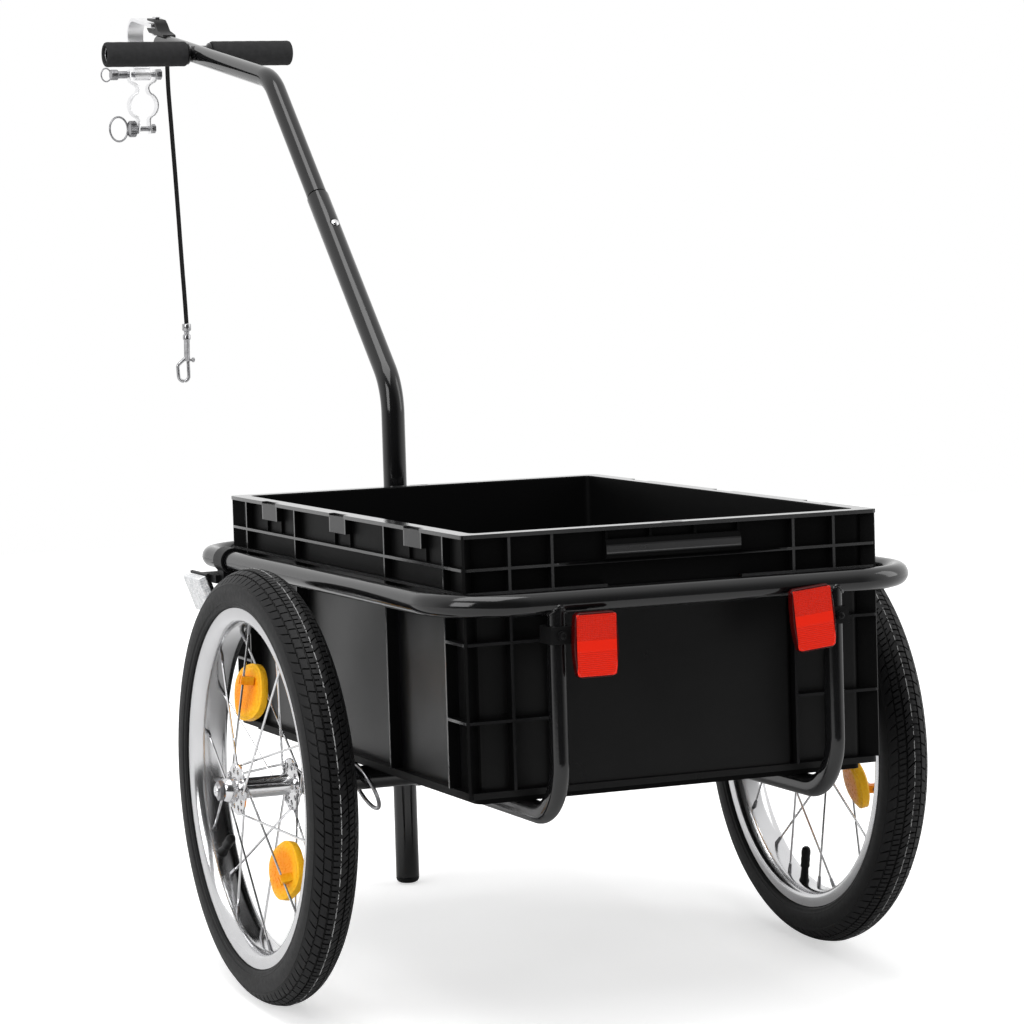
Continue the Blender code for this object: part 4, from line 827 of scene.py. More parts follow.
# Leg and drawbar are one bent 24 mm tube held in two welded sleeves; a 22 mm tube slides into its
# top end and a spring button locks it there. A moulded cap closes the foot.
LEG_RADIUS = 0.012
LEG_FOOT_Z = 0.0264
UPPER_TUBE_RADIUS = 0.011
KNEE = Vector((0, LEG_Y, 0.541))
DRAWBAR_BEND = 0.065
SEAM_SHARE = 0.60
BUTTON_BELOW_SEAM = 0.051
BUTTON_TURN = math.radians(12)
seam = KNEE.lerp(SHOULDER, SEAM_SHARE)
slant = (SHOULDER - KNEE).normalized()
foot_top = LEG_FOOT_Z + 0.006


def tube(path, section_radii, sides=32):
    """A round tube along a path, its radius given at each of the last points."""
    whole = sweep(path, circle(1.0, sides), (1, 0, 0))
    whole.verts.ensure_lookup_table()
    for i, point in enumerate(path):
        for vertex in whole.verts[sides * i:sides * i + sides]:
            vertex.co = point + (vertex.co - point) * section_radii[i]
    return whole


lower = rounded([(0, LEG_Y, foot_top + GAP), KNEE, seam - slant * 0.0016], DRAWBAR_BEND, 22)
lower_path = lower + [seam - slant * 0.0008, seam]
lower_tube = tube(lower_path, [LEG_RADIUS] * (len(lower_path) - 2) + [LEG_RADIUS - 0.0001, LEG_RADIUS - 0.0008])
button_place = seam - slant * BUTTON_BELOW_SEAM
button_frame = Matrix.Translation(button_place) @ (
    Matrix.Rotation(BUTTON_TURN, 3, slant) @ Matrix.Rotation(math.atan2(slant.z, slant.y), 3, "X")).to_4x4()
button_hole = turn_mesh(turned([(0.0078, 0), (0.0078, 0.0056), (0.02, 0.0056), (0.02, 0)], 32), button_frame)
put("drawbar_lower_tube", carved(lower_tube, ("DIFFERENCE", [button_hole])), powder_coat, "chassis", level,
    ("drawbar_lower",))
upper = rounded([seam + slant * 0.0016, SHOULDER, NOSE], DRAWBAR_BEND, 22)
upper_path = [seam + slant * GAP, seam + slant * 0.0013] + upper
upper_tube = tube(upper_path, [0.0098, 0.0098] + [UPPER_TUBE_RADIUS] * (len(upper_path) - 2))
put("drawbar_upper_tube", upper_tube, powder_coat, "chassis", level, ("drawbar_upper",))
eye_path = rounded([(0, -0.008, 0), (0, -0.008, -EYE_DROP), (0, 0.008, -EYE_DROP), (0, 0.008, 0)], 0.004, 8)
eye_place = level @ Matrix.Translation(strap_eye + nose_above * EYE_DROP) @ Matrix.Rotation(nose_angle, 4, "X")
eye_mesh = sweep(eye_path, circle(EYE_WIRE, 12), (1, 0, 0))
put("strap_eye_wire", eye_mesh, powder_coat, "chassis", eye_place)
for name, z in (("upper", RAIL_Z), ("lower", CROSSBAR_Z)):
    inside = LEG_RADIUS + GAP
    sleeve = [(-0.020, SOCKET_RADIUS - 0.0008), (-0.0192, SOCKET_RADIUS), (0.0192, SOCKET_RADIUS),
              (0.020, SOCKET_RADIUS - 0.0008), (0.020, inside + 0.0005), (0.0195, inside), (-0.0195, inside),
              (-0.020, inside + 0.0005)]
    weld = []
    for a, b in circle(RAIL_RADIUS, 48):
        out = a * 1.15
        back = math.sqrt(SOCKET_RADIUS ** 2 - min(abs(out), 0.0125) ** 2)
        weld.append(Vector((out, -back - 0.0006, b * 0.9)))
    bead = weld_bead(weld, 0.0016)
    put("leg_sleeve_" + name, merged([turned(sleeve, 40), bead]), powder_coat, "chassis",
        level @ Matrix.Translation((0, LEG_Y, z)), ("socket_" + name,))

moulded_black = grained("moulded_black_plastic", (0.005, 0.005, 0.0052), 0.38, 1900.0, 30.0, 0.00012, 0.5,
                        (0.34, 0.52), reflect=0.15)[0]
foot_cap = [(0.0, 0), (0.0, 0.0072), (0.0005, 0.0088), (0.0015, 0.0105), (0.0030, 0.0115), (0.0050, LEG_RADIUS),
            (0.0060, LEG_RADIUS - 0.0002), (0.0060, 0)]
put("leg_foot_cap", turned(foot_cap, 40), moulded_black, "chassis",
    level @ Matrix.Translation((0, LEG_Y, LEG_FOOT_Z)), ("leg_cap",))
plug_edge = UPPER_TUBE_RADIUS - 0.0004
nose_cap = [(GAP, 0), (GAP, plug_edge), (0.0014, plug_edge), (0.0024, plug_edge - 0.0008), (0.0030, 0.0072),
            (0.0022, 0.0066), (0.0022, 0)]
put("nose_end_plug", turned(nose_cap, 40, "Y"), moulded_black, "chassis",
    level @ Matrix.Translation(NOSE) @ Matrix.Rotation(nose_angle, 4, "X"), ("nose_plug",))

bright_chrome = grained("bright_chrome_plate", (0.74, 0.74, 0.75), 0.09, 160.0, 60.0, 0.00010, 0.18,
                        (0.06, 0.20), ((0.62, 0.62, 0.63), (0.82, 0.82, 0.83)), metallic=1.0)[0]
dome = [(0.0079, 0), (0.0079, 0.0047), (0.0112, 0.0047), (0.0122, 0.0044), (0.0130, 0.0037), (0.0136, 0.0026),
        (0.0139, 0.0013), (0.0140, 0)]
put("spring_button_dome", turned(dome, 32), bright_chrome, "chassis",
    level @ button_frame, ("spring_button",))


# The T-handle is 19 mm steel tube welded to both sides of the drawbar behind its nose, with a collar
# at each joint. Closed-cell foam grips are pushed on, and the tube's cut ends show inside them.
HANDLE_Y = 0.958
HANDLE_RISE = 0.001
HANDLE_RADIUS = 0.0095
GRIP_RADIUS = 0.0145
GRIP_FROM_X = 0.0155
GRIP_TO_X = 0.1135
COLLAR_RADIUS = 0.0125
HANDLE_BORE = 0.0060
handle_z = SHOULDER.z + nose_along.z / nose_along.y * (HANDLE_Y - SHOULDER.y) + HANDLE_RISE
handle_place = level @ Matrix.Translation((0, HANDLE_Y, handle_z))
bare_steel = grained("bare_steel", (0.30, 0.30, 0.31), 0.28, 800.0, 90.0, 0.00012, 0.4, (0.20, 0.40),
                     ((0.20, 0.20, 0.21), (0.42, 0.42, 0.43)), metallic=1.0)[0]
foam = grained("grip_foam", (0.024, 0.024, 0.025), 0.85, 1500.0, 180.0, 0.0004, 0.7, None,
               ((0.016, 0.016, 0.0165), (0.034, 0.034, 0.035)), reflect=0.2)[0]


def mirrored(profile, sign, steps):
    """A turned solid along X, for the side that the sign gives."""
    return turned([(sign * x, radius) for x, radius in profile], steps, "X")


collar = UPPER_TUBE_RADIUS + 0.0008
grip_start = GRIP_FROM_X - GAP
stub_end = GRIP_TO_X - 0.003
stub = [(0.004, 0), (0.004, HANDLE_RADIUS), (collar - 0.002, HANDLE_RADIUS), (collar, 0.0112),
        (collar + 0.001, COLLAR_RADIUS), (grip_start - 0.001, COLLAR_RADIUS), (grip_start, 0.0118),
        (grip_start, HANDLE_RADIUS), (stub_end - 0.0004, HANDLE_RADIUS), (stub_end, HANDLE_RADIUS - 0.0004),
        (stub_end, HANDLE_BORE), (stub_end - 0.050, HANDLE_BORE), (stub_end - 0.050, 0)]
cut_end = [(stub_end + 0.0001, 0.0062), (stub_end + 0.0001, 0.0090), (stub_end + 0.0005, 0.0087),
           (stub_end + 0.0005, 0.0065)]
inner = HANDLE_RADIUS + GAP
sleeve = [(GRIP_FROM_X, inner), (GRIP_FROM_X, GRIP_RADIUS - 0.0016),
          (GRIP_FROM_X + 0.0006, GRIP_RADIUS - 0.0005), (GRIP_FROM_X + 0.0022, GRIP_RADIUS)]
sleeve += [(GRIP_FROM_X + 0.0022 + (GRIP_TO_X - GRIP_FROM_X - 0.0050) * k / 12,
            GRIP_RADIUS - 0.00015 * (k % 2)) for k in range(1, 12)]
sleeve += [(GRIP_TO_X - 0.0028, GRIP_RADIUS), (GRIP_TO_X - 0.0010, GRIP_RADIUS - 0.0007),
           (GRIP_TO_X, GRIP_RADIUS - 0.0022), (GRIP_TO_X, inner + 0.0006), (GRIP_TO_X - 0.0008, inner)]
for side, sign in (("left", -1), ("right", 1)):
    put("handle_stub_" + side, mirrored(stub, sign, 40), powder_coat, "chassis", handle_place,
        ("handle_" + side,))
    put("handle_cut_end_" + side, mirrored(cut_end, sign, 40), bare_steel, "chassis", handle_place)
    put("grip_sleeve_" + side, mirrored(sleeve, sign, 48), foam, "chassis", handle_place,
        ("grip_" + side,))


# Each wheel is a 16 inch bicycle wheel: a black rubber road tyre on a polished alloy rim, twenty steel
# spokes crossed to a high-flange hub, two amber spoke reflectors and a rubber-covered valve.
WHEEL_X = 0.283
TYRE_SECTION = 0.0225
RIM_EDGE_RADIUS = 0.1655
RIM_HALF_WIDTH = 0.018
RIM_BED_RADIUS = 0.1490
TREAD_UNITS = 108
TREAD_DEPTH = 0.0016
SEAM_HALF_WIDTH = 0.00042


def distance(tree, first, second):
    """The length of a line with these two sides."""
    squares = plus(tree, sums(tree, "POWER", first, 2), sums(tree, "POWER", second, 2))
    return sums(tree, "SQRT", squares, None)


# The tread is painted darker down in its grooves than on the blocks' outer faces, a painted shade.
# A thin mould seam shows in places, painted light grey as a painted highlight.
tyre_rubber, tree, shader, patches = grained("tyre_rubber", (0.006, 0.006, 0.0062), 0.50, 1300.0, 240.0,
                                             0.00015, 0.5, (0.40, 0.64), reflect=0.19)
axes = object_axes(tree)
across = sums(tree, "ABSOLUTE", axes["X"], None)
past_core = sums(tree, "SUBTRACT", distance(tree, axes["Y"], axes["Z"]), WHEEL_RADIUS - TYRE_SECTION)
raised = ramp(tree, distance(tree, across, past_core), TYRE_SECTION - TREAD_DEPTH, TYRE_SECTION - 0.0004)
# Painted shade: darker in the grooves, lighter on the blocks and sidewalls.
painted_groove_shade = tones(tree, shader, raised, (0.0008, 0.0008, 0.0009), (0.0080, 0.0080, 0.0084))
# Painted highlight: a light grey line along the mould seam, in places.
seam_glint_mask = times(tree, sums(tree, "LESS_THAN", across, SEAM_HALF_WIDTH),
                  sums(tree, "GREATER_THAN", patches, 0.47))
seam_glint = tree.nodes.new("ShaderNodeMix")
seam_glint.data_type = "RGBA"
seam_glint.inputs["B"].default_value = (0.30, 0.30, 0.30, 1.0)
tree.links.new(seam_glint_mask, seam_glint.inputs["Factor"])
tree.links.new(painted_groove_shade.outputs["Result"], seam_glint.inputs["A"])
tree.links.new(seam_glint.outputs["Result"], shader.inputs["Base Color"])


def tread_lines():
    """Lines round the section across the tread, from one shoulder to the other."""
    across = [0.0, 0.018, 0.10, 0.12, 0.18, 0.20, 0.262, 0.278, 0.322, 0.338, 0.46, 0.592, 0.604, 0.640, 0.652,
              0.74, 0.82, 0.90, 0.96, 1.0]
    return [-s for s in across[:0:-1]] + across


def tread_depth(s, first, second):
    """How much of the groove depth is cut at a place across the tread, by the two sipes of a unit."""
    size = abs(s)
    if size < 0.015:
        return 0.0
    if 0.27 < size < 0.33:
        return 1.0
    if 0.60 < size < 0.645:
        return 0.7
    if size <= 0.27:
        short = second if s > 0 and size > 0.11 or size > 0.19 else 0.0
        return max(first, 0.8 * short)
    if size <= 0.60:
        return max(second, 0.7 * first if size > 0.45 and s < 0 else 0.0)
    return first * (1.0 if size < 0.955 else 0.3)


def tyre_mesh():
    """Sidewalls with moulded rings, and a road tread of staggered blocks and curved shoulder sipes."""
    mesh_data = bmesh.new()
    centre = WHEEL_RADIUS - TYRE_SECTION
    reach_to = math.radians(62)
    rise = ((0.0, 0.0, 0.0), (0.035, 1.0, 0.0), (0.125, 1.0, 0.0), (0.160, 0.0, 0.0), (0.330, 0.0, 0.0),
            (0.500, 0.0, 0.0), (0.535, 0.0, 1.0), (0.615, 0.0, 1.0), (0.650, 0.0, 0.0), (0.830, 0.0, 0.0))
    bead = RIM_HALF_WIDTH - 0.0022
    sidewall = [(27.0, 0.0), (24.5, 0.0), (24.0, 0.00035), (22.8, 0.00035), (22.3, 0.0), (8.0, 0.0),
                (-8.0, 0.0), (-16.0, 0.0), (-16.6, 0.00030), (-18.2, 0.00030), (-18.8, 0.0), (-24.0, 0.0),
                (-26.5, 0.0005), (-29.0, 0.0003), (-32.0, 0.0)]
    rings = []
    for unit in range(TREAD_UNITS):
        for share, first, second in rise:
            ring = []

            def add(x, radius, turn_by):
                angle = 2 * math.pi * turn_by / TREAD_UNITS
                ring.append(mesh_data.verts.new((x, radius * math.cos(angle), radius * math.sin(angle))))

            for s in tread_lines():
                size = abs(s)
                bend = 0.95 * size ** 2.2 + (0.5 if s < 0 else 0.0) * min(size / 0.3, 1.0)
                shift = s
                if 0.2 < size < 0.4:
                    shift = s + math.copysign(0.026 * math.cos(2 * math.pi * share), s)
                elif 0.55 < size < 0.70:
                    shift = s + math.copysign(0.022 * math.sin(2 * math.pi * share), s)
                proud = 0.0 if size < 0.015 else -0.00035
                depth = TREAD_DEPTH * tread_depth(s, first, second) * (1.0 - 0.3 * max(size - 0.6, 0.0) / 0.4)
                angle = math.pi / 2 - shift * reach_to
                reach = TYRE_SECTION + proud - depth
                add(reach * math.cos(angle), centre + reach * math.sin(angle), unit + share + bend)
            for x_sign, steps in ((1, sidewall), (-1, sidewall[::-1])):
                follow = unit + share + (0.95 if x_sign > 0 else 1.45)
                if x_sign < 0:
                    for x, radius in ((bead, RIM_EDGE_RADIUS), (bead, RIM_EDGE_RADIUS - 0.004)):
                        add(x, radius, unit + share + 0.95)
                    for x, radius in ((-bead, RIM_EDGE_RADIUS - 0.004), (-bead, RIM_EDGE_RADIUS)):
                        add(x, radius, follow)
                for degrees, ridge in steps:
                    angle = math.radians(degrees)
                    reach = min(TYRE_SECTION - 0.0002 + ridge, TYRE_SECTION / abs(math.cos(angle)))
                    add(x_sign * reach * math.cos(angle), centre + reach * math.sin(angle), follow)
            rings.append(ring)
    for low, high in zip(rings, rings[1:] + rings[:1]):
        count = len(low)
        for k in range(count):
            mesh_data.faces.new((low[k], low[(k + 1) % count], high[(k + 1) % count], high[k]))
    return mesh_data


# The rims are rolled aluminium, machined and polished. A rounded flange on each side holds the tyre's
# bead, and the raised bed between them takes the spokes and the valve.
polished_alloy = grained("polished_alloy", (0.66, 0.66, 0.67), 0.16, 700.0, 22.0, 0.00006, 0.25, (0.10, 0.24),
                         ((0.56, 0.56, 0.57), (0.74, 0.74, 0.75)), metallic=1.0)[0]
rim_half = [(0.0, RIM_BED_RADIUS), (0.0055, RIM_BED_RADIUS), (0.0080, 0.1492), (0.0105, 0.1499),
            (0.0135, 0.1513), (0.0158, 0.1528), (0.0171, 0.1545), (0.0176, 0.1562), (0.0177, 0.1600),
            (0.0179, 0.1620), (RIM_HALF_WIDTH, 0.1636), (0.0179, 0.1648), (0.0174, 0.1652), (0.0169, 0.1650),
            (0.0166, 0.1642), (0.0165, 0.1600), (0.0163, 0.1582), (0.0152, 0.1570), (0.0080, 0.1535),
            (0.0, 0.1530)]
rim_section = rim_half + [(-x, r) for x, r in rim_half[-2:0:-1]]

# The spokes are 2.2 mm bright steel wire, hooked into the hub's flanges by their heads, crossed in
# pairs and drawn tight by nipples in the rim.
SPOKES = 20
SPOKE_RADIUS = 0.0011
FLANGE_X = 0.026
SPOKE_HOLE_RADIUS = 0.0215
SPOKE_REACH = 0.1478
SPOKE_CROSSING = math.radians(62)
SPOKE_PHASE = {"left": math.radians(22), "right": math.radians(10)}


def spoke_ends(sign, phase, splay=0.001):
    """Hub end and rim end of each spoke on one flange, in crossed pairs."""
    ends = []
    for i in range(SPOKES // 2):
        lean = 1 if i % 2 else -1
        rim_angle = 2 * math.pi * (i + sign * 0.25) / (SPOKES // 2) + phase
        hub_angle = rim_angle + lean * SPOKE_CROSSING
        hub_end = (sign * (FLANGE_X + lean * splay), SPOKE_HOLE_RADIUS * math.cos(hub_angle),
                   SPOKE_HOLE_RADIUS * math.sin(hub_angle))
        rim_end = (sign * 0.004, SPOKE_REACH * math.cos(rim_angle), SPOKE_REACH * math.sin(rim_angle))
        ends.append((Vector(hub_end), Vector(rim_end)))
    return ends


def spoke_wires(phase):
    wires, nipples = [], []
    for sign in (-1, 1):
        for start, end in spoke_ends(sign, phase, 0.0019):
            lean = 1 if abs(start.x) > FLANGE_X else -1
            head = start + Vector((-sign * lean * 0.0034, 0, 0))
            run = (end - start).normalized()
            path = [head, start + Vector((-sign * lean * 0.0007, 0, 0)), start + run * 0.0011,
                    start + run * 0.004, end]
            wires.append(sweep(path, circle(SPOKE_RADIUS, 8), (0.1, 0.7, 0.7)))
            button = [(0.0, 0), (0.0, 0.0019), (0.0007, 0.0016), (0.0010, 0)]
            wires.append(turn_mesh(turned([(-sign * lean * h, r) for h, r in button], 10, "X"),
                                   Matrix.Translation(head)))
            seat = end + run * 0.0018
            sleeve = [(0.0, 0), (0.0, 0.0021), (-0.0035, 0.0020), (-0.0100, 0.0016), (-0.0105, 0)]
            nipples.append(turn_mesh(turned(sleeve, 10), Matrix.Translation(seat)
                                     @ run.to_track_quat("Z", "Y").to_matrix().to_4x4()))
    return merged(wires), merged(nipples)


# The hub is a chromed steel shell: two 48 mm flanges pierced with round holes, a slim barrel and
# bearing cups; its spindle has a round cap outside and slides into the axle tube inside.
hub_half = [(0.0190, 0.0095), (0.0222, 0.0100), (0.0238, 0.0120), (0.0246, 0.0150), (0.0250, 0.0236),
            (0.0254, 0.0240), (0.0266, 0.0240), (0.0270, 0.0236), (0.0272, 0.0140), (0.0282, 0.0117)]
hub_outer = [(0.0340, 0.0115), (0.0362, 0.0110), (0.0388, 0.0098), (0.0400, 0.0088), (0.0400, 0.0062),
             (0.0385, 0.0060)]
hub_inner = [(-0.0300, 0.0115), (-0.0330, 0.0110), (-0.0345, 0.0098), (-0.0345, 0.0062), (-0.0335, 0.0060)]
hub_section = hub_outer[::-1] + hub_half[::-1] + [(-x, r) for x, r in hub_half] + hub_inner
HUB_HOLES = 10
HUB_HOLE_CIRCLE = 0.0172
HUB_HOLE_RADIUS = 0.0026
REFLECTORS_AND_VALVE = {"left": ((72, 232), 0.088, -32), "right": ((202, 22), 0.0915, -80)}
LENS_THICKNESS = 0.012
CLIP_SIZE = 0.0075
CLIP_COVER = 0.0030
CLIP_AHEAD = 0.012
VALVE_LENGTH = 0.036

# The lenses are moulded plastic with small pyramids under a smooth skin, which throw the light back.
# On the amber and clear lenses single cells are painted lighter as glints, a painted highlight.
# The amber ones grip a spoke with a forked clip.
prism, prism_in, prism_out = group("prism_cells", [("Size", 420.0)], ["Facets", "Glints"])
where = node(prism, "TexCoord")
cells = node(prism, "TexVoronoi", feature="F1", distance="MANHATTAN", Randomness=0.12)
glint_noise = node(prism, "TexWhiteNoise")
prism.links.new(where.outputs["Object"], cells.inputs["Vector"])
prism.links.new(prism_in.outputs["Size"], cells.inputs["Scale"])
prism.links.new(cells.outputs["Distance"], prism_out.inputs["Facets"])
prism.links.new(cells.outputs["Position"], glint_noise.inputs["Vector"])
prism.links.new(glint_noise.outputs["Value"], prism_out.inputs["Glints"])
amber_lens, tree, shader = finish("amber_lens", (0.95, 0.40, 0.02), 0.30, reflect=0.14)
pyramids = use_group(tree, prism, Size=520.0)
bump(tree, shader, pyramids.outputs["Facets"], 0.0005, 0.35)
spread(tree, pyramids.outputs["Glints"], 0.22, 0.40, shader.inputs["Roughness"])
axes = object_axes(tree)
# Painted highlight: the amber lens is painted lighter towards its rim and in single glinting cells.
edge_glow = ramp(tree, distance(tree, axes["Y"], axes["Z"]), 0.0150, 0.0235)
mixed = plus(tree, times(tree, edge_glow, 0.75), times(tree, pyramids.outputs["Glints"], 0.25))
tones(tree, shader, mixed, (0.93, 0.26, 0.004), (1.0, 0.55, 0.022))


def lens_outline(width, length, steps):
    return [(width / 2 * math.copysign(abs(math.cos(a)) ** 0.8, math.cos(a)),
             length / 2 * math.copysign(abs(math.sin(a)) ** 0.8, math.sin(a)))
            for a in (2 * math.pi * i / steps for i in range(steps))]


def layered(outline, layers):
    """A closed form from one outline drawn at several depths and sizes, along X."""
    mesh_data = bmesh.new()
    rings = [[mesh_data.verts.new((depth, a * share, b * share)) for a, b in outline]
             for depth, share in layers]
    for low, high in zip(rings, rings[1:]):
        for i in range(len(outline)):
            k = (i + 1) % len(outline)
            mesh_data.faces.new((low[i], low[k], high[k], high[i]))
    mesh_data.faces.new(rings[0][::-1])
    mesh_data.faces.new(rings[-1])
    return mesh_data


def spoke_lens(outer_spokes, angle, radius, lean):
    """An oval lens with a thin flange round its middle and a forked clip on one outer spoke."""
    turn_by = math.radians(angle)
    place = Vector((0, radius * math.cos(turn_by), radius * math.sin(turn_by)))
    half = LENS_THICKNESS / 2
    body = layered(lens_outline(0.047, 0.052, 56), [
        (-half, 0.78), (-half + 0.0004, 0.84), (-half + 0.0012, 0.89), (-0.0040, 0.92), (-0.0036, 0.985),
        (-0.0030, 1.0), (0.0030, 1.0), (0.0036, 0.985), (0.0040, 0.92), (half - 0.0012, 0.89),
        (half - 0.0004, 0.84), (half, 0.78)])
    own_place = (Matrix.Translation(place) @ Matrix.Rotation(math.radians(lean), 4, "Z")
                 @ Matrix.Rotation(math.radians(lean), 4, "Y")
                 @ Matrix.Rotation(turn_by - math.pi / 2, 4, "X"))
    lens = turn_mesh(body, own_place)

    def nearest_point(spoke):
        start, end = spoke
        share = (place - start).dot(end - start) / (end - start).length_squared
        return start.lerp(end, min(max(share, 0.0), 1.0))

    start, end = min(outer_spokes, key=lambda spoke: (nearest_point(spoke) - place).yz.length)
    along = (end - start).normalized()
    seat = nearest_point((start, end)) + along * CLIP_AHEAD
    outward = math.copysign(1, seat.x)

    def bar_on_spoke(depth, cover, half_width, half_length):
        section = [(-outward * depth, -half_width), (outward * cover, -half_width),
                   (outward * cover, half_width), (-outward * depth, half_width)]
        return sweep([seat - along * half_length, seat + along * half_length], section, (1, 0, 0))

    room = SPOKE_RADIUS + GAP
    clip = bar_on_spoke(abs(seat.x) - 0.002, CLIP_COVER, CLIP_SIZE / 2, CLIP_SIZE / 2)
    mouth = bar_on_spoke(room, CLIP_SIZE, room, CLIP_SIZE)
    whole = carved(lens, ("UNION", [clip]), ("DIFFERENCE", [mouth]))
    return turn_mesh(whole, own_place.inverted()), own_place


def hexagon(radius):
    return [(radius * math.cos(math.pi * k / 3), radius * math.sin(math.pi * k / 3)) for k in range(6)]


def nut_on_x(radius, thickness, x):
    """A hexagon nut with its bore along X, centred at x."""
    return turn_mesh(plate(hexagon(radius), thickness),
                     Matrix.Translation((x, 0, 0)) @ Matrix.Rotation(math.pi / 2, 4, "Y"))


tyre_shape = tyre_mesh()
for side, sign in (("left", -1), ("right", 1)):
    body = "wheel_" + side
    place = level @ Matrix.Translation((sign * WHEEL_X, 0, WHEEL_RADIUS))
    tyre = tyre_shape if sign > 0 else turn_mesh(tyre_shape.copy(), Matrix.Rotation(math.pi, 4, "Z"))
    put("tyre_rubber_" + side, tyre, tyre_rubber, body, place, ("tyre_" + side,))
    put("rim_ring_" + side, turned(rim_section, 120, "X"), polished_alloy, body, place,
        ("rim_" + side,))
    holes = []
    for i in range(HUB_HOLES):
        a = 2 * math.pi * (i + 0.5) / HUB_HOLES + SPOKE_PHASE[side]
        y, z = HUB_HOLE_CIRCLE * math.cos(a), HUB_HOLE_CIRCLE * math.sin(a)
        holes.append(rod((-0.029, y, z), (0.029, y, z), HUB_HOLE_RADIUS, 16, (0, 0, 1)))
    shell = carved(turned([(sign * x, r) for x, r in hub_section], 48, "X"), ("DIFFERENCE", [merged(holes)]))
    put("hub_shell_" + side, shell, bright_chrome, body, place, ("hub_" + side,))
    wires, nipples = spoke_wires(SPOKE_PHASE[side])
    put("spoke_wires_" + side, wires, bright_chrome, body, place)
    put("spoke_nipples_" + side, nipples, bare_steel, body, place)
    angles, radius, valve_angle = REFLECTORS_AND_VALVE[side]
    for number, angle in enumerate(angles, 1):
        lens, own_place = spoke_lens(spoke_ends(sign, SPOKE_PHASE[side]), angle, radius, -12 * sign)
        put("spoke_lens_%s_%d" % (side, number), lens, amber_lens, body, place @ own_place,
            ("wheel_reflector_%s_%d" % (side, number),), 0.0003)
    top = RIM_BED_RADIUS + 0.0008
    stem = [(top, 0), (top, 0.0052), (top - 0.0016, 0.0050), (top - 0.0040, 0.0041), (top - 0.0120, 0.0037),
            (top - 0.0150, 0.0036), (top - 0.0152, 0.0043), (top - 0.0165, 0.0046)]
    stem += [(top - 0.0170 - 0.0030 * k, 0.0046 - 0.0003 * (k % 2)) for k in range(5)]
    stem += [(top - VALVE_LENGTH + 0.0040, 0.0045), (top - VALVE_LENGTH + 0.0016, 0.0037),
             (top - VALVE_LENGTH, 0.0020), (top - VALVE_LENGTH, 0)]
    put("valve_stem_" + side, turned(stem, 20, "Y"), moulded_black, body,
        place @ Matrix.Rotation(math.radians(valve_angle), 4, "X"), ("valve_" + side,))
    spindle_in = AXLE_PIN_X - 0.010 - WHEEL_X
    spindle = [(spindle_in, 0), (spindle_in, 0.0049), (spindle_in + 0.0008, 0.0055), (0.0403, 0.0055),
               (0.0403, 0.0094), (0.0412, 0.0094), (0.0412, 0.0052), (0.0462, 0.0052), (0.0470, 0.0045),
               (0.0470, 0.0030), (0.0464, 0.0024), (0.0460, 0)]
    pin_x = sign * (AXLE_PIN_X - WHEEL_X)
    hole = rod((pin_x, 0, -0.01), (pin_x, 0, 0.01), PIN_HOLE_RADIUS, 16)
    shaft = carved(turned([(sign * x, r) for x, r in spindle], 40, "X"), ("DIFFERENCE", [hole]))
    put("wheel_spindle_" + side, shaft, bright_chrome, "chassis", place, ("spindle_" + side,))
    put("spindle_nut_" + side, nut_on_x(0.0095, 0.0036, sign * 0.0431), bare_steel, "chassis", place,
        (), 0.0006)


# Each axle pin is turned from steel and drops through the axle tube and the spindle in it. A sprung
# wire bail in its head snaps round the tube and keeps it there.
BAIL_RADIUS = 0.0235
BAIL_WIRE = 0.0019
BAIL_LEAN = 0.42
shaft = [(0.0155, 0), (0.0153, 0.0022), (0.0146, 0.0034), (0.0134, 0.0037), (0.0120, 0.0034), (0.0113, 0.0033),
         (0.0113, 0.0020), (-0.0135, 0.0020), (-0.0143, 0.0012), (-0.0145, 0)]
loop = [Vector((0, y * (1.0 - 0.10 * z / BAIL_RADIUS), z)) for z, y in circle(BAIL_RADIUS, 64)]
for side, sign in (("left", -1), ("right", 1)):
    place = level @ Matrix.Translation((sign * AXLE_PIN_X, 0, WHEEL_RADIUS))
    hang = Matrix.Translation((sign * -0.0100, 0, -0.0080)) @ Matrix.Rotation(sign * BAIL_LEAN, 4, "Y")
    bail = turn_mesh(sweep(loop, circle(BAIL_WIRE, 12), (1, 0, 0), closed=True), hang)
    put("axle_lock_pin_" + side, merged([turned(shaft, 24), bail]), bare_steel, "chassis", place,
        ("axle_pin_" + side,))


# A red rear reflector is screwed to a moulded clamp round the top of each hoop: a square lens with
# slightly hollow sides, its prisms in two fields with a plain band between, in a darker border.
red_lens, tree, shader = finish("red_lens", (0.78, 0.014, 0.004), 0.24, reflect=0.20)
pyramids = use_group(tree, prism, Size=640.0)
lines = use_group(tree, rows, Pitch=0.0017)
axes = object_axes(tree)
in_width = sums(tree, "LESS_THAN", sums(tree, "ABSOLUTE", axes["X"], None), 0.0184)
in_height = sums(tree, "LESS_THAN", sums(tree, "ABSOLUTE", axes["Z"], None), 0.0262)
inside = times(tree, sums(tree, "LESS_THAN", axes["Y"], -0.0030), times(tree, in_width, in_height))
upper_field = times(tree, sums(tree, "GREATER_THAN", axes["Z"], 0.0040), inside)
lower_field = times(tree, sums(tree, "LESS_THAN", axes["Z"], -0.0050), inside)
facets = times(tree, upper_field, pyramids.outputs["Facets"])
ridges = times(tree, lower_field, lines.outputs["Wave"])
bump(tree, shader, plus(tree, facets, times(tree, ridges, 0.5)), 0.0006, 0.45)
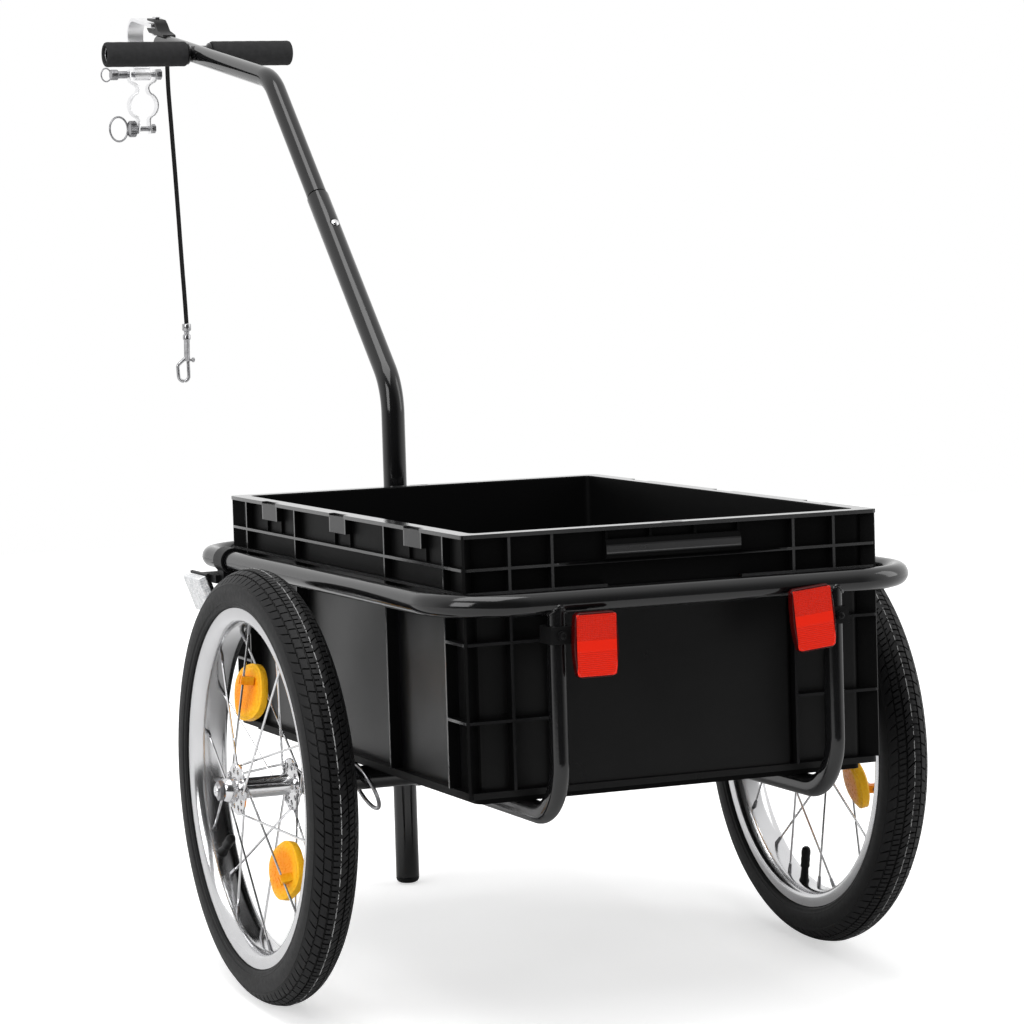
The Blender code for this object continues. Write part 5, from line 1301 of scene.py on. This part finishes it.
# Painted shade: the prism cells are painted darker towards their edges, and the lower field darker along its
# ridge lines.
prism_line_shade = plus(tree, times(tree, facets, 0.28), times(tree, ridges, 0.25))
tones(tree, shader, sums(tree, "SUBTRACT", times(tree, inside, 0.95), prism_line_shade),
      (0.045, 0.0008, 0.0006), (0.93, 0.020, 0.004))
LENS_HALF_WIDTH, LENS_HALF_HEIGHT = 0.0206, 0.0278
LENS_X, LENS_Y = 0.1035, -0.3440
LENS_BACK_Y = -0.3397
for side, sign, z, lean, clamp_z in (("left", -1, 0.350, 0, 0.359), ("right", 1, 0.358, 5.5, 0.358)):
    x = sign * LENS_X
    outline = []
    for k in range(-12, 13):
        share = k / 12
        narrowing = 0.0033 if share < 0 else 0.0019
        cut_back = 0.0030 * max(abs(share) - 0.92, 0.0) / 0.08
        outline.append((LENS_HALF_WIDTH - narrowing * share * share - cut_back, LENS_HALF_HEIGHT * share))
    outline += [(-a, b) for a, b in reversed(outline)]
    lens = layered(outline, [(-0.0040, 0.985), (-0.0034, 1.0), (0.0026, 1.0), (0.0036, 0.985), (0.0040, 0.965),
                             (0.0040, 0.945), (0.0036, 0.930), (0.0036, 0.2)])
    lens = turn_mesh(lens, Matrix.Rotation(-math.pi / 2, 4, "Z"))
    put("rear_lens_" + side, lens, red_lens, "chassis",
        level @ Matrix.Translation((x, LENS_Y, z)) @ Matrix.Rotation(math.radians(-lean), 4, "Y"),
        ("rear_reflector_" + side,))
    hoop_x = sign * HOOP_X
    collar = box((HOOP_WIDTH + 0.004, HOOP_DEPTH + 0.005, 0.015), (hoop_x, RAIL_REAR_Y, clamp_z))
    arm_from, arm_to = hoop_x - sign * (HOOP_WIDTH / 2 + 0.001), x - sign * 0.004
    arm = box((abs(arm_from - arm_to), 0.0060, 0.011), ((arm_from + arm_to) / 2, LENS_BACK_Y + 0.0030, clamp_z))
    screw_y = RAIL_REAR_Y - HOOP_DEPTH / 2 - 0.0035
    boss = rod((hoop_x, screw_y + 0.003, clamp_z), (hoop_x, screw_y - 0.0018, clamp_z), 0.0040, 24)
    bore = sweep([Vector((hoop_x, RAIL_REAR_Y, clamp_z + rise)) for rise in (-0.02, 0.02)],
                 oval(HOOP_WIDTH + 2 * GAP, HOOP_DEPTH + 2 * GAP, 12), (1, 0, 0))
    put("rear_clamp_" + side, carved(collar, ("UNION", [arm, boss]), ("DIFFERENCE", [bore])), moulded_black,
        "chassis", level, ("rear_reflector_clamp_" + side,), 0.0008)
    head = turned([(0.0004, 0), (0.0004, 0.0031), (0.0014, 0.0030), (0.0020, 0.0022), (0.0022, 0)], 24)
    slots = [box((0.0038, 0.0008, 0.0016), (0, 0, 0.0022)), box((0.0008, 0.0038, 0.0016), (0, 0, 0.0022))]
    screw_place = Matrix.Translation((hoop_x, screw_y - 0.0018, clamp_z)) @ Matrix.Rotation(math.pi / 2, 4, "X")
    put("rear_screw_" + side, carved(head, ("DIFFERENCE", slots)), moulded_black, "chassis",
        level @ screw_place)


# A clear front reflector faces out to each side, on a black moulded plate that hangs from a clamp
# round the rail. Its lens is moulded like the others, without colour.
clear_lens, tree, shader = finish("clear_lens", (0.86, 0.87, 0.88), 0.12, coat=0.4)
pyramids = use_group(tree, prism, Size=430.0)
bump(tree, shader, pyramids.outputs["Facets"], 0.0007, 0.6)
# Painted highlight: single prism cells are painted near white as glints.
tones(tree, shader, pyramids.outputs["Glints"], (0.62, 0.64, 0.66), (0.97, 0.97, 0.98))
for side, sign in (("left", -1), ("right", 1)):
    tilt = Matrix.Rotation(sign * math.radians(20), 4, "Y")
    centre = Matrix.Translation((sign * 0.2365, 0.287, 0.354))
    lens = box((0.009, 0.048, 0.037), (sign * 0.0061, 0, 0))
    put("front_lens_" + side, lens, clear_lens, "chassis", level @ centre @ tilt,
        ("front_reflector_" + side,), 0.0016)
    collar = rod((sign * RAIL_HALF_WIDTH, 0.232, RAIL_Z), (sign * RAIL_HALF_WIDTH, 0.256, RAIL_Z),
                 RAIL_RADIUS + 0.0028, 32, (0, 0, 1))
    backing = turn_mesh(box((0.0026, 0.050, 0.039), (0, 0, 0)), centre @ tilt)
    lug = box((0.012, 0.018, 0.014), (sign * 0.2290, 0.246, 0.3705))
    arm = box((0.0170, 0.044, 0.008), (sign * 0.2315, 0.268, 0.3680))
    bore = rod((sign * RAIL_HALF_WIDTH, 0.20, RAIL_Z), (sign * RAIL_HALF_WIDTH, 0.2860, RAIL_Z),
               RAIL_RADIUS + GAP, 32, (0, 0, 1))
    clamp = carved(collar, ("UNION", [backing]), ("UNION", [lug]), ("UNION", [arm]), ("DIFFERENCE", [bore]))
    put("front_clamp_" + side, clamp, moulded_black, "chassis", level,
        ("front_reflector_clamp_" + side,), 0.0006)


# The coupling's fork is folded steel in a satin black coat, welded on the drawbar's nose. A chromed
# kingpin through it carries the yoke, a zinc-plated flat bar bent down to the seat-post clamp.
KINGPIN_AHEAD = 0.024
KINGPIN_UP = 0.0188
FORK_GAP = 0.009
BOLT_HOLE_RADIUS = 0.0034
FORK_HALF_WIDTH = 0.0078
PIVOT_AHEAD, PIVOT_DROP = 0.0546, -0.0657
yaw_place = (level @ Matrix.Translation(NOSE + nose_along * KINGPIN_AHEAD + nose_above * KINGPIN_UP)
             @ Matrix.Rotation(nose_angle, 4, "X"))
half_gap = FORK_GAP / 2
low_edge = half_gap + 0.0030
fork_profile = [(-0.052, -low_edge - 0.002), (0.004, -low_edge - 0.002), (0.011, -low_edge + 0.001),
                (0.0125, -half_gap), (-0.016, -half_gap), (-0.018, -0.0020), (-0.017, 0.0020),
                (-0.014, half_gap), (0.0110, half_gap), (0.0125, half_gap + 0.0010),
                (0.0115, half_gap + 0.0026), (-0.012, half_gap + 0.0026), (-0.020, 0.0030),
                (-0.030, -0.0040), (-0.050, -0.0068)]
cope = rod((0, -0.14, -KINGPIN_UP), (0, 0.0, -KINGPIN_UP), UPPER_TUBE_RADIUS + GAP, 32)
hole = rod((0, 0, -0.02), (0, 0, 0.02), BOLT_HOLE_RADIUS, 24)
fork_coat = grained("fork_black_coat", (0.003, 0.003, 0.0032), 0.34, 600.0, 60.0, 0.00010, 0.4, (0.22, 0.46),
                    ((0.0020, 0.0020, 0.0021), (0.0060, 0.0060, 0.0063)), reflect=0.14)[0]
fork = carved(plate(fork_profile, 2 * FORK_HALF_WIDTH, "X"), ("DIFFERENCE", [cope]), ("DIFFERENCE", [hole]))
put("hitch_fork", fork, fork_coat, "chassis", yaw_place, ("hitch_bracket",), 0.0009)
pin_head = turn_mesh(plate(hexagon(0.0052), 0.0026), Matrix.Translation((0, 0, 0.0086)))
pin = turned([(-0.0125, 0), (-0.0125, 0.0040), (-0.0121, 0.0048), (-0.0101, 0.0048), (-0.0101, 0.003),
              (0.0078, 0.003), (0.0078, 0)], 28)
put("hitch_king_bolt", merged([pin, pin_head]), bright_chrome, "chassis", yaw_place,
    ("hitch_kingpin",), 0.0003)
neck = rounded([(0, -0.010, 0), (0, 0.0925, 0), (0, 0.0800, -0.033), (0, PIVOT_AHEAD, PIVOT_DROP + 0.0062)],
               (0, 0.020, 0.020, 0), 14)
strip = [(-0.010, -0.002), (0.010, -0.002), (0.010, 0.002), (-0.010, 0.002)]
barrel = rod((-0.010, PIVOT_AHEAD, PIVOT_DROP), (0.010, PIVOT_AHEAD, PIVOT_DROP), 0.0072, 32, (0, 0, 1))
across = rod((-0.012, PIVOT_AHEAD, PIVOT_DROP), (0.012, PIVOT_AHEAD, PIVOT_DROP), BOLT_HOLE_RADIUS, 24,
             (0, 0, 1))
king_hole = rod((0, 0, -0.006), (0, 0, 0.006), BOLT_HOLE_RADIUS, 24)
satin_plate = grained("satin_zinc_plate", (0.88, 0.88, 0.89), 0.36, 1100.0, 70.0, 0.00010, 0.35, (0.28, 0.46),
                      ((0.80, 0.80, 0.81), (0.95, 0.95, 0.96)), metallic=1.0)[0]
yoke = carved(sweep(neck, strip, (1, 0, 0)), ("UNION", [barrel]), ("DIFFERENCE", [across, king_hole]))
put("yoke_strap", yoke, satin_plate, "coupling_yoke", yaw_place, ("hitch_yoke",), 0.0006)


# The seat-post clamp is two pressed, zinc-plated halves. A pivot bolt holds their upper tabs on the
# yoke's eye, and a screw with a knurled nut and a pull ring closes them below.
CLAMP_RADIUS = 0.0165
CLAMP_CENTRE_DROP = 0.0375
CLAMP_SCREW_DROP = 0.066
pitch_place = (yaw_place @ Matrix.Translation((0, PIVOT_AHEAD, PIVOT_DROP))
               @ Matrix.Rotation(-nose_angle, 4, "X"))


def clamp_half(sign):
    """One half: tab, neck, half ring and lower tab, pressed from strip with rolled edges."""
    path = [Vector((0.0165, 0, 0.006)), Vector((0.0165, 0, -0.004)), Vector((0.0150, 0, -0.0085)),
            Vector((0.0085, 0, -0.0125)), Vector((0.0062, 0, -0.0165))]
    for i in range(9):
        a = math.radians(66 - 132 * i / 8)
        path.append(Vector((CLAMP_RADIUS * math.cos(a) + 0.0012, 0,
                            CLAMP_RADIUS * math.sin(a) - CLAMP_CENTRE_DROP)))
    path += [Vector((0.0066, 0, -0.0575)), Vector((0.0082, 0, -0.0720))]
    fine = smooth_route(path, 4)
    section = [(-0.0009, -0.0066), (0.0005, -0.0070), (0.0009, -0.0066), (0.0009, 0.0066), (0.0005, 0.0070),
               (-0.0009, 0.0066)]
    half = sweep(fine, section, (1, 0, 0))
    bmesh.ops.scale(half, vec=(sign, 1, 1), verts=half.verts)
    return half


def pull_ring(x, radius, wire):
    loop = [Vector((a, 0, b)) for a, b in circle(radius, 56)]
    return turn_mesh(sweep(loop, circle(wire, 12), (0, 1, 0), closed=True),
                     Matrix.Translation((x, 0, 0)) @ Matrix.Rotation(math.radians(26), 4, "Z"))


for side, sign in (("left", -1), ("right", 1)):
    holes = [rod((-0.04, 0, z), (0.04, 0, z), 0.0033, 24, (0, 0, 1)) for z in (0.0, -CLAMP_SCREW_DROP)]
    put("clamp_jaw_" + side, carved(clamp_half(sign), ("DIFFERENCE", [holes[0]]), ("DIFFERENCE", [holes[1]])),
        satin_plate, "coupling_clamp", pitch_place, ("clamp_band_" + side,))
bolt = [(-0.0400, 0), (-0.0400, 0.0058), (-0.0393, 0.0065), (-0.0317, 0.0065), (-0.0310, 0.0058),
        (-0.0305, 0.0045), (-0.0190, 0.0045), (-0.0190, 0.003), (0.0195, 0.003), (0.0195, 0)]
pivot = merged([turned(bolt, 32, "X"), nut_on_x(0.0066, 0.0048, 0.0220), pull_ring(-0.0455, 0.0080, 0.0009)])
put("pivot_bolt", pivot, bare_steel, "coupling_clamp", pitch_place, ("clamp_pivot_bolt",), 0.0003)
screw = turned([(-0.0105, 0), (-0.0105, 0.003), (0.0145, 0.003), (0.0145, 0)], 24, "X")
knurl = [(a * share, b * share) for (a, b), share in zip(circle(0.0100, 48), (0.93, 1.0) * 24)]
knurled_nut = layered(knurl, [(-0.0190, 0.90), (-0.0183, 1.0), (-0.0112, 1.0), (-0.0105, 0.90)])
closer = merged([screw, knurled_nut, nut_on_x(0.0056, 0.0036, 0.0125), pull_ring(-0.0320, 0.0148, 0.00125)])
put("closing_screw", closer, bare_steel, "coupling_clamp",
    pitch_place @ Matrix.Translation((0, 0, -CLAMP_SCREW_DROP)), ("clamp_screw",))


# A plain white studio: a white floor, a white surround, one broad lamp overhead and two at the sides.
# The shiny tubes see the surround go dark behind the camera, as the end of a room does.
FLOOR_HALF_WIDTH = 2.2
FLOOR_GLOW = 0.53
SURROUND_LIGHT = 0.55


def lamp(name, place, aim, size, power):
    data = bpy.data.lights.new(name, "AREA")
    data.shape = "RECTANGLE"
    data.size, data.size_y = size
    data.energy = power
    light = bpy.data.objects.new(name, data)
    bpy.context.scene.collection.objects.link(light)
    light.location = place
    light.rotation_euler = (Vector(aim) - Vector(place)).to_track_quat("-Z", "Y").to_euler()


lamp("lamp_overhead", (-0.6, -0.6, 3.2), (0, -0.2, 0.3), (2.4, 2.4), 60)
lamp("lamp_left", (-3.2, -1.8, 1.8), (0, -0.2, 0.4), (1.6, 2.2), 45)
lamp("lamp_right", (3.0, -1.0, 1.6), (0, -0.2, 0.4), (1.2, 2.2), 16)

world = bpy.data.worlds.new("white_studio")
bpy.context.scene.world = world
world.use_nodes = True
sky = world.node_tree
background = sky.nodes["Background"]
background.inputs["Color"].default_value = (1, 1, 1, 1)
rays = sky.nodes.new("ShaderNodeLightPath")
mirrored = sums(sky, "MAXIMUM", rays.outputs["Is Glossy Ray"], rays.outputs["Is Transmission Ray"])
where = node(sky, "TexCoord")
toward_door = node(sky, "VectorMath", operation="DOT_PRODUCT")
sky.links.new(where.outputs["Generated"], toward_door.inputs[0])
toward_door.inputs[1].default_value = (-0.39, -0.92, -0.02)
dark_end = node(sky, "MapRange", interpolation_type="SMOOTHSTEP")
for socket, value in (("From Min", -0.10), ("From Max", 0.85), ("To Min", 1.0), ("To Max", 0.06)):
    dark_end.inputs[socket].default_value = value
sky.links.new(toward_door.outputs["Value"], dark_end.inputs["Value"])
shown = sums(sky, "MAXIMUM", rays.outputs["Is Camera Ray"], times(sky, mirrored, dark_end.outputs["Result"]))
unseen = sums(sky, "SUBTRACT", 1.0, sums(sky, "MAXIMUM", rays.outputs["Is Camera Ray"], mirrored))
sky.links.new(plus(sky, shown, times(sky, unseen, SURROUND_LIGHT)), background.inputs["Strength"])

floor_mesh = bmesh.new()
bmesh.ops.create_grid(floor_mesh, x_segments=1, y_segments=1, size=FLOOR_HALF_WIDTH)
floor_data = bpy.data.meshes.new("studio_floor")
floor_mesh.to_mesh(floor_data)
floor_mesh.free()
studio_floor = bpy.data.objects.new("studio_floor", floor_data)
bpy.context.scene.collection.objects.link(studio_floor)
floor_paint, tree, shader = finish("white_floor", (0.86, 0.86, 0.86), 0.9, reflect=0.0)
floor_rays = tree.nodes.new("ShaderNodeLightPath")
shader.inputs["Emission Color"].default_value = (1, 1, 1, 1)
tree.links.new(times(tree, floor_rays.outputs["Is Camera Ray"], FLOOR_GLOW), shader.inputs["Emission Strength"])
floor_data.materials.append(floor_paint)
bpy.context.scene.view_settings.view_transform = "Standard"

bpy.context.view_layer.update()
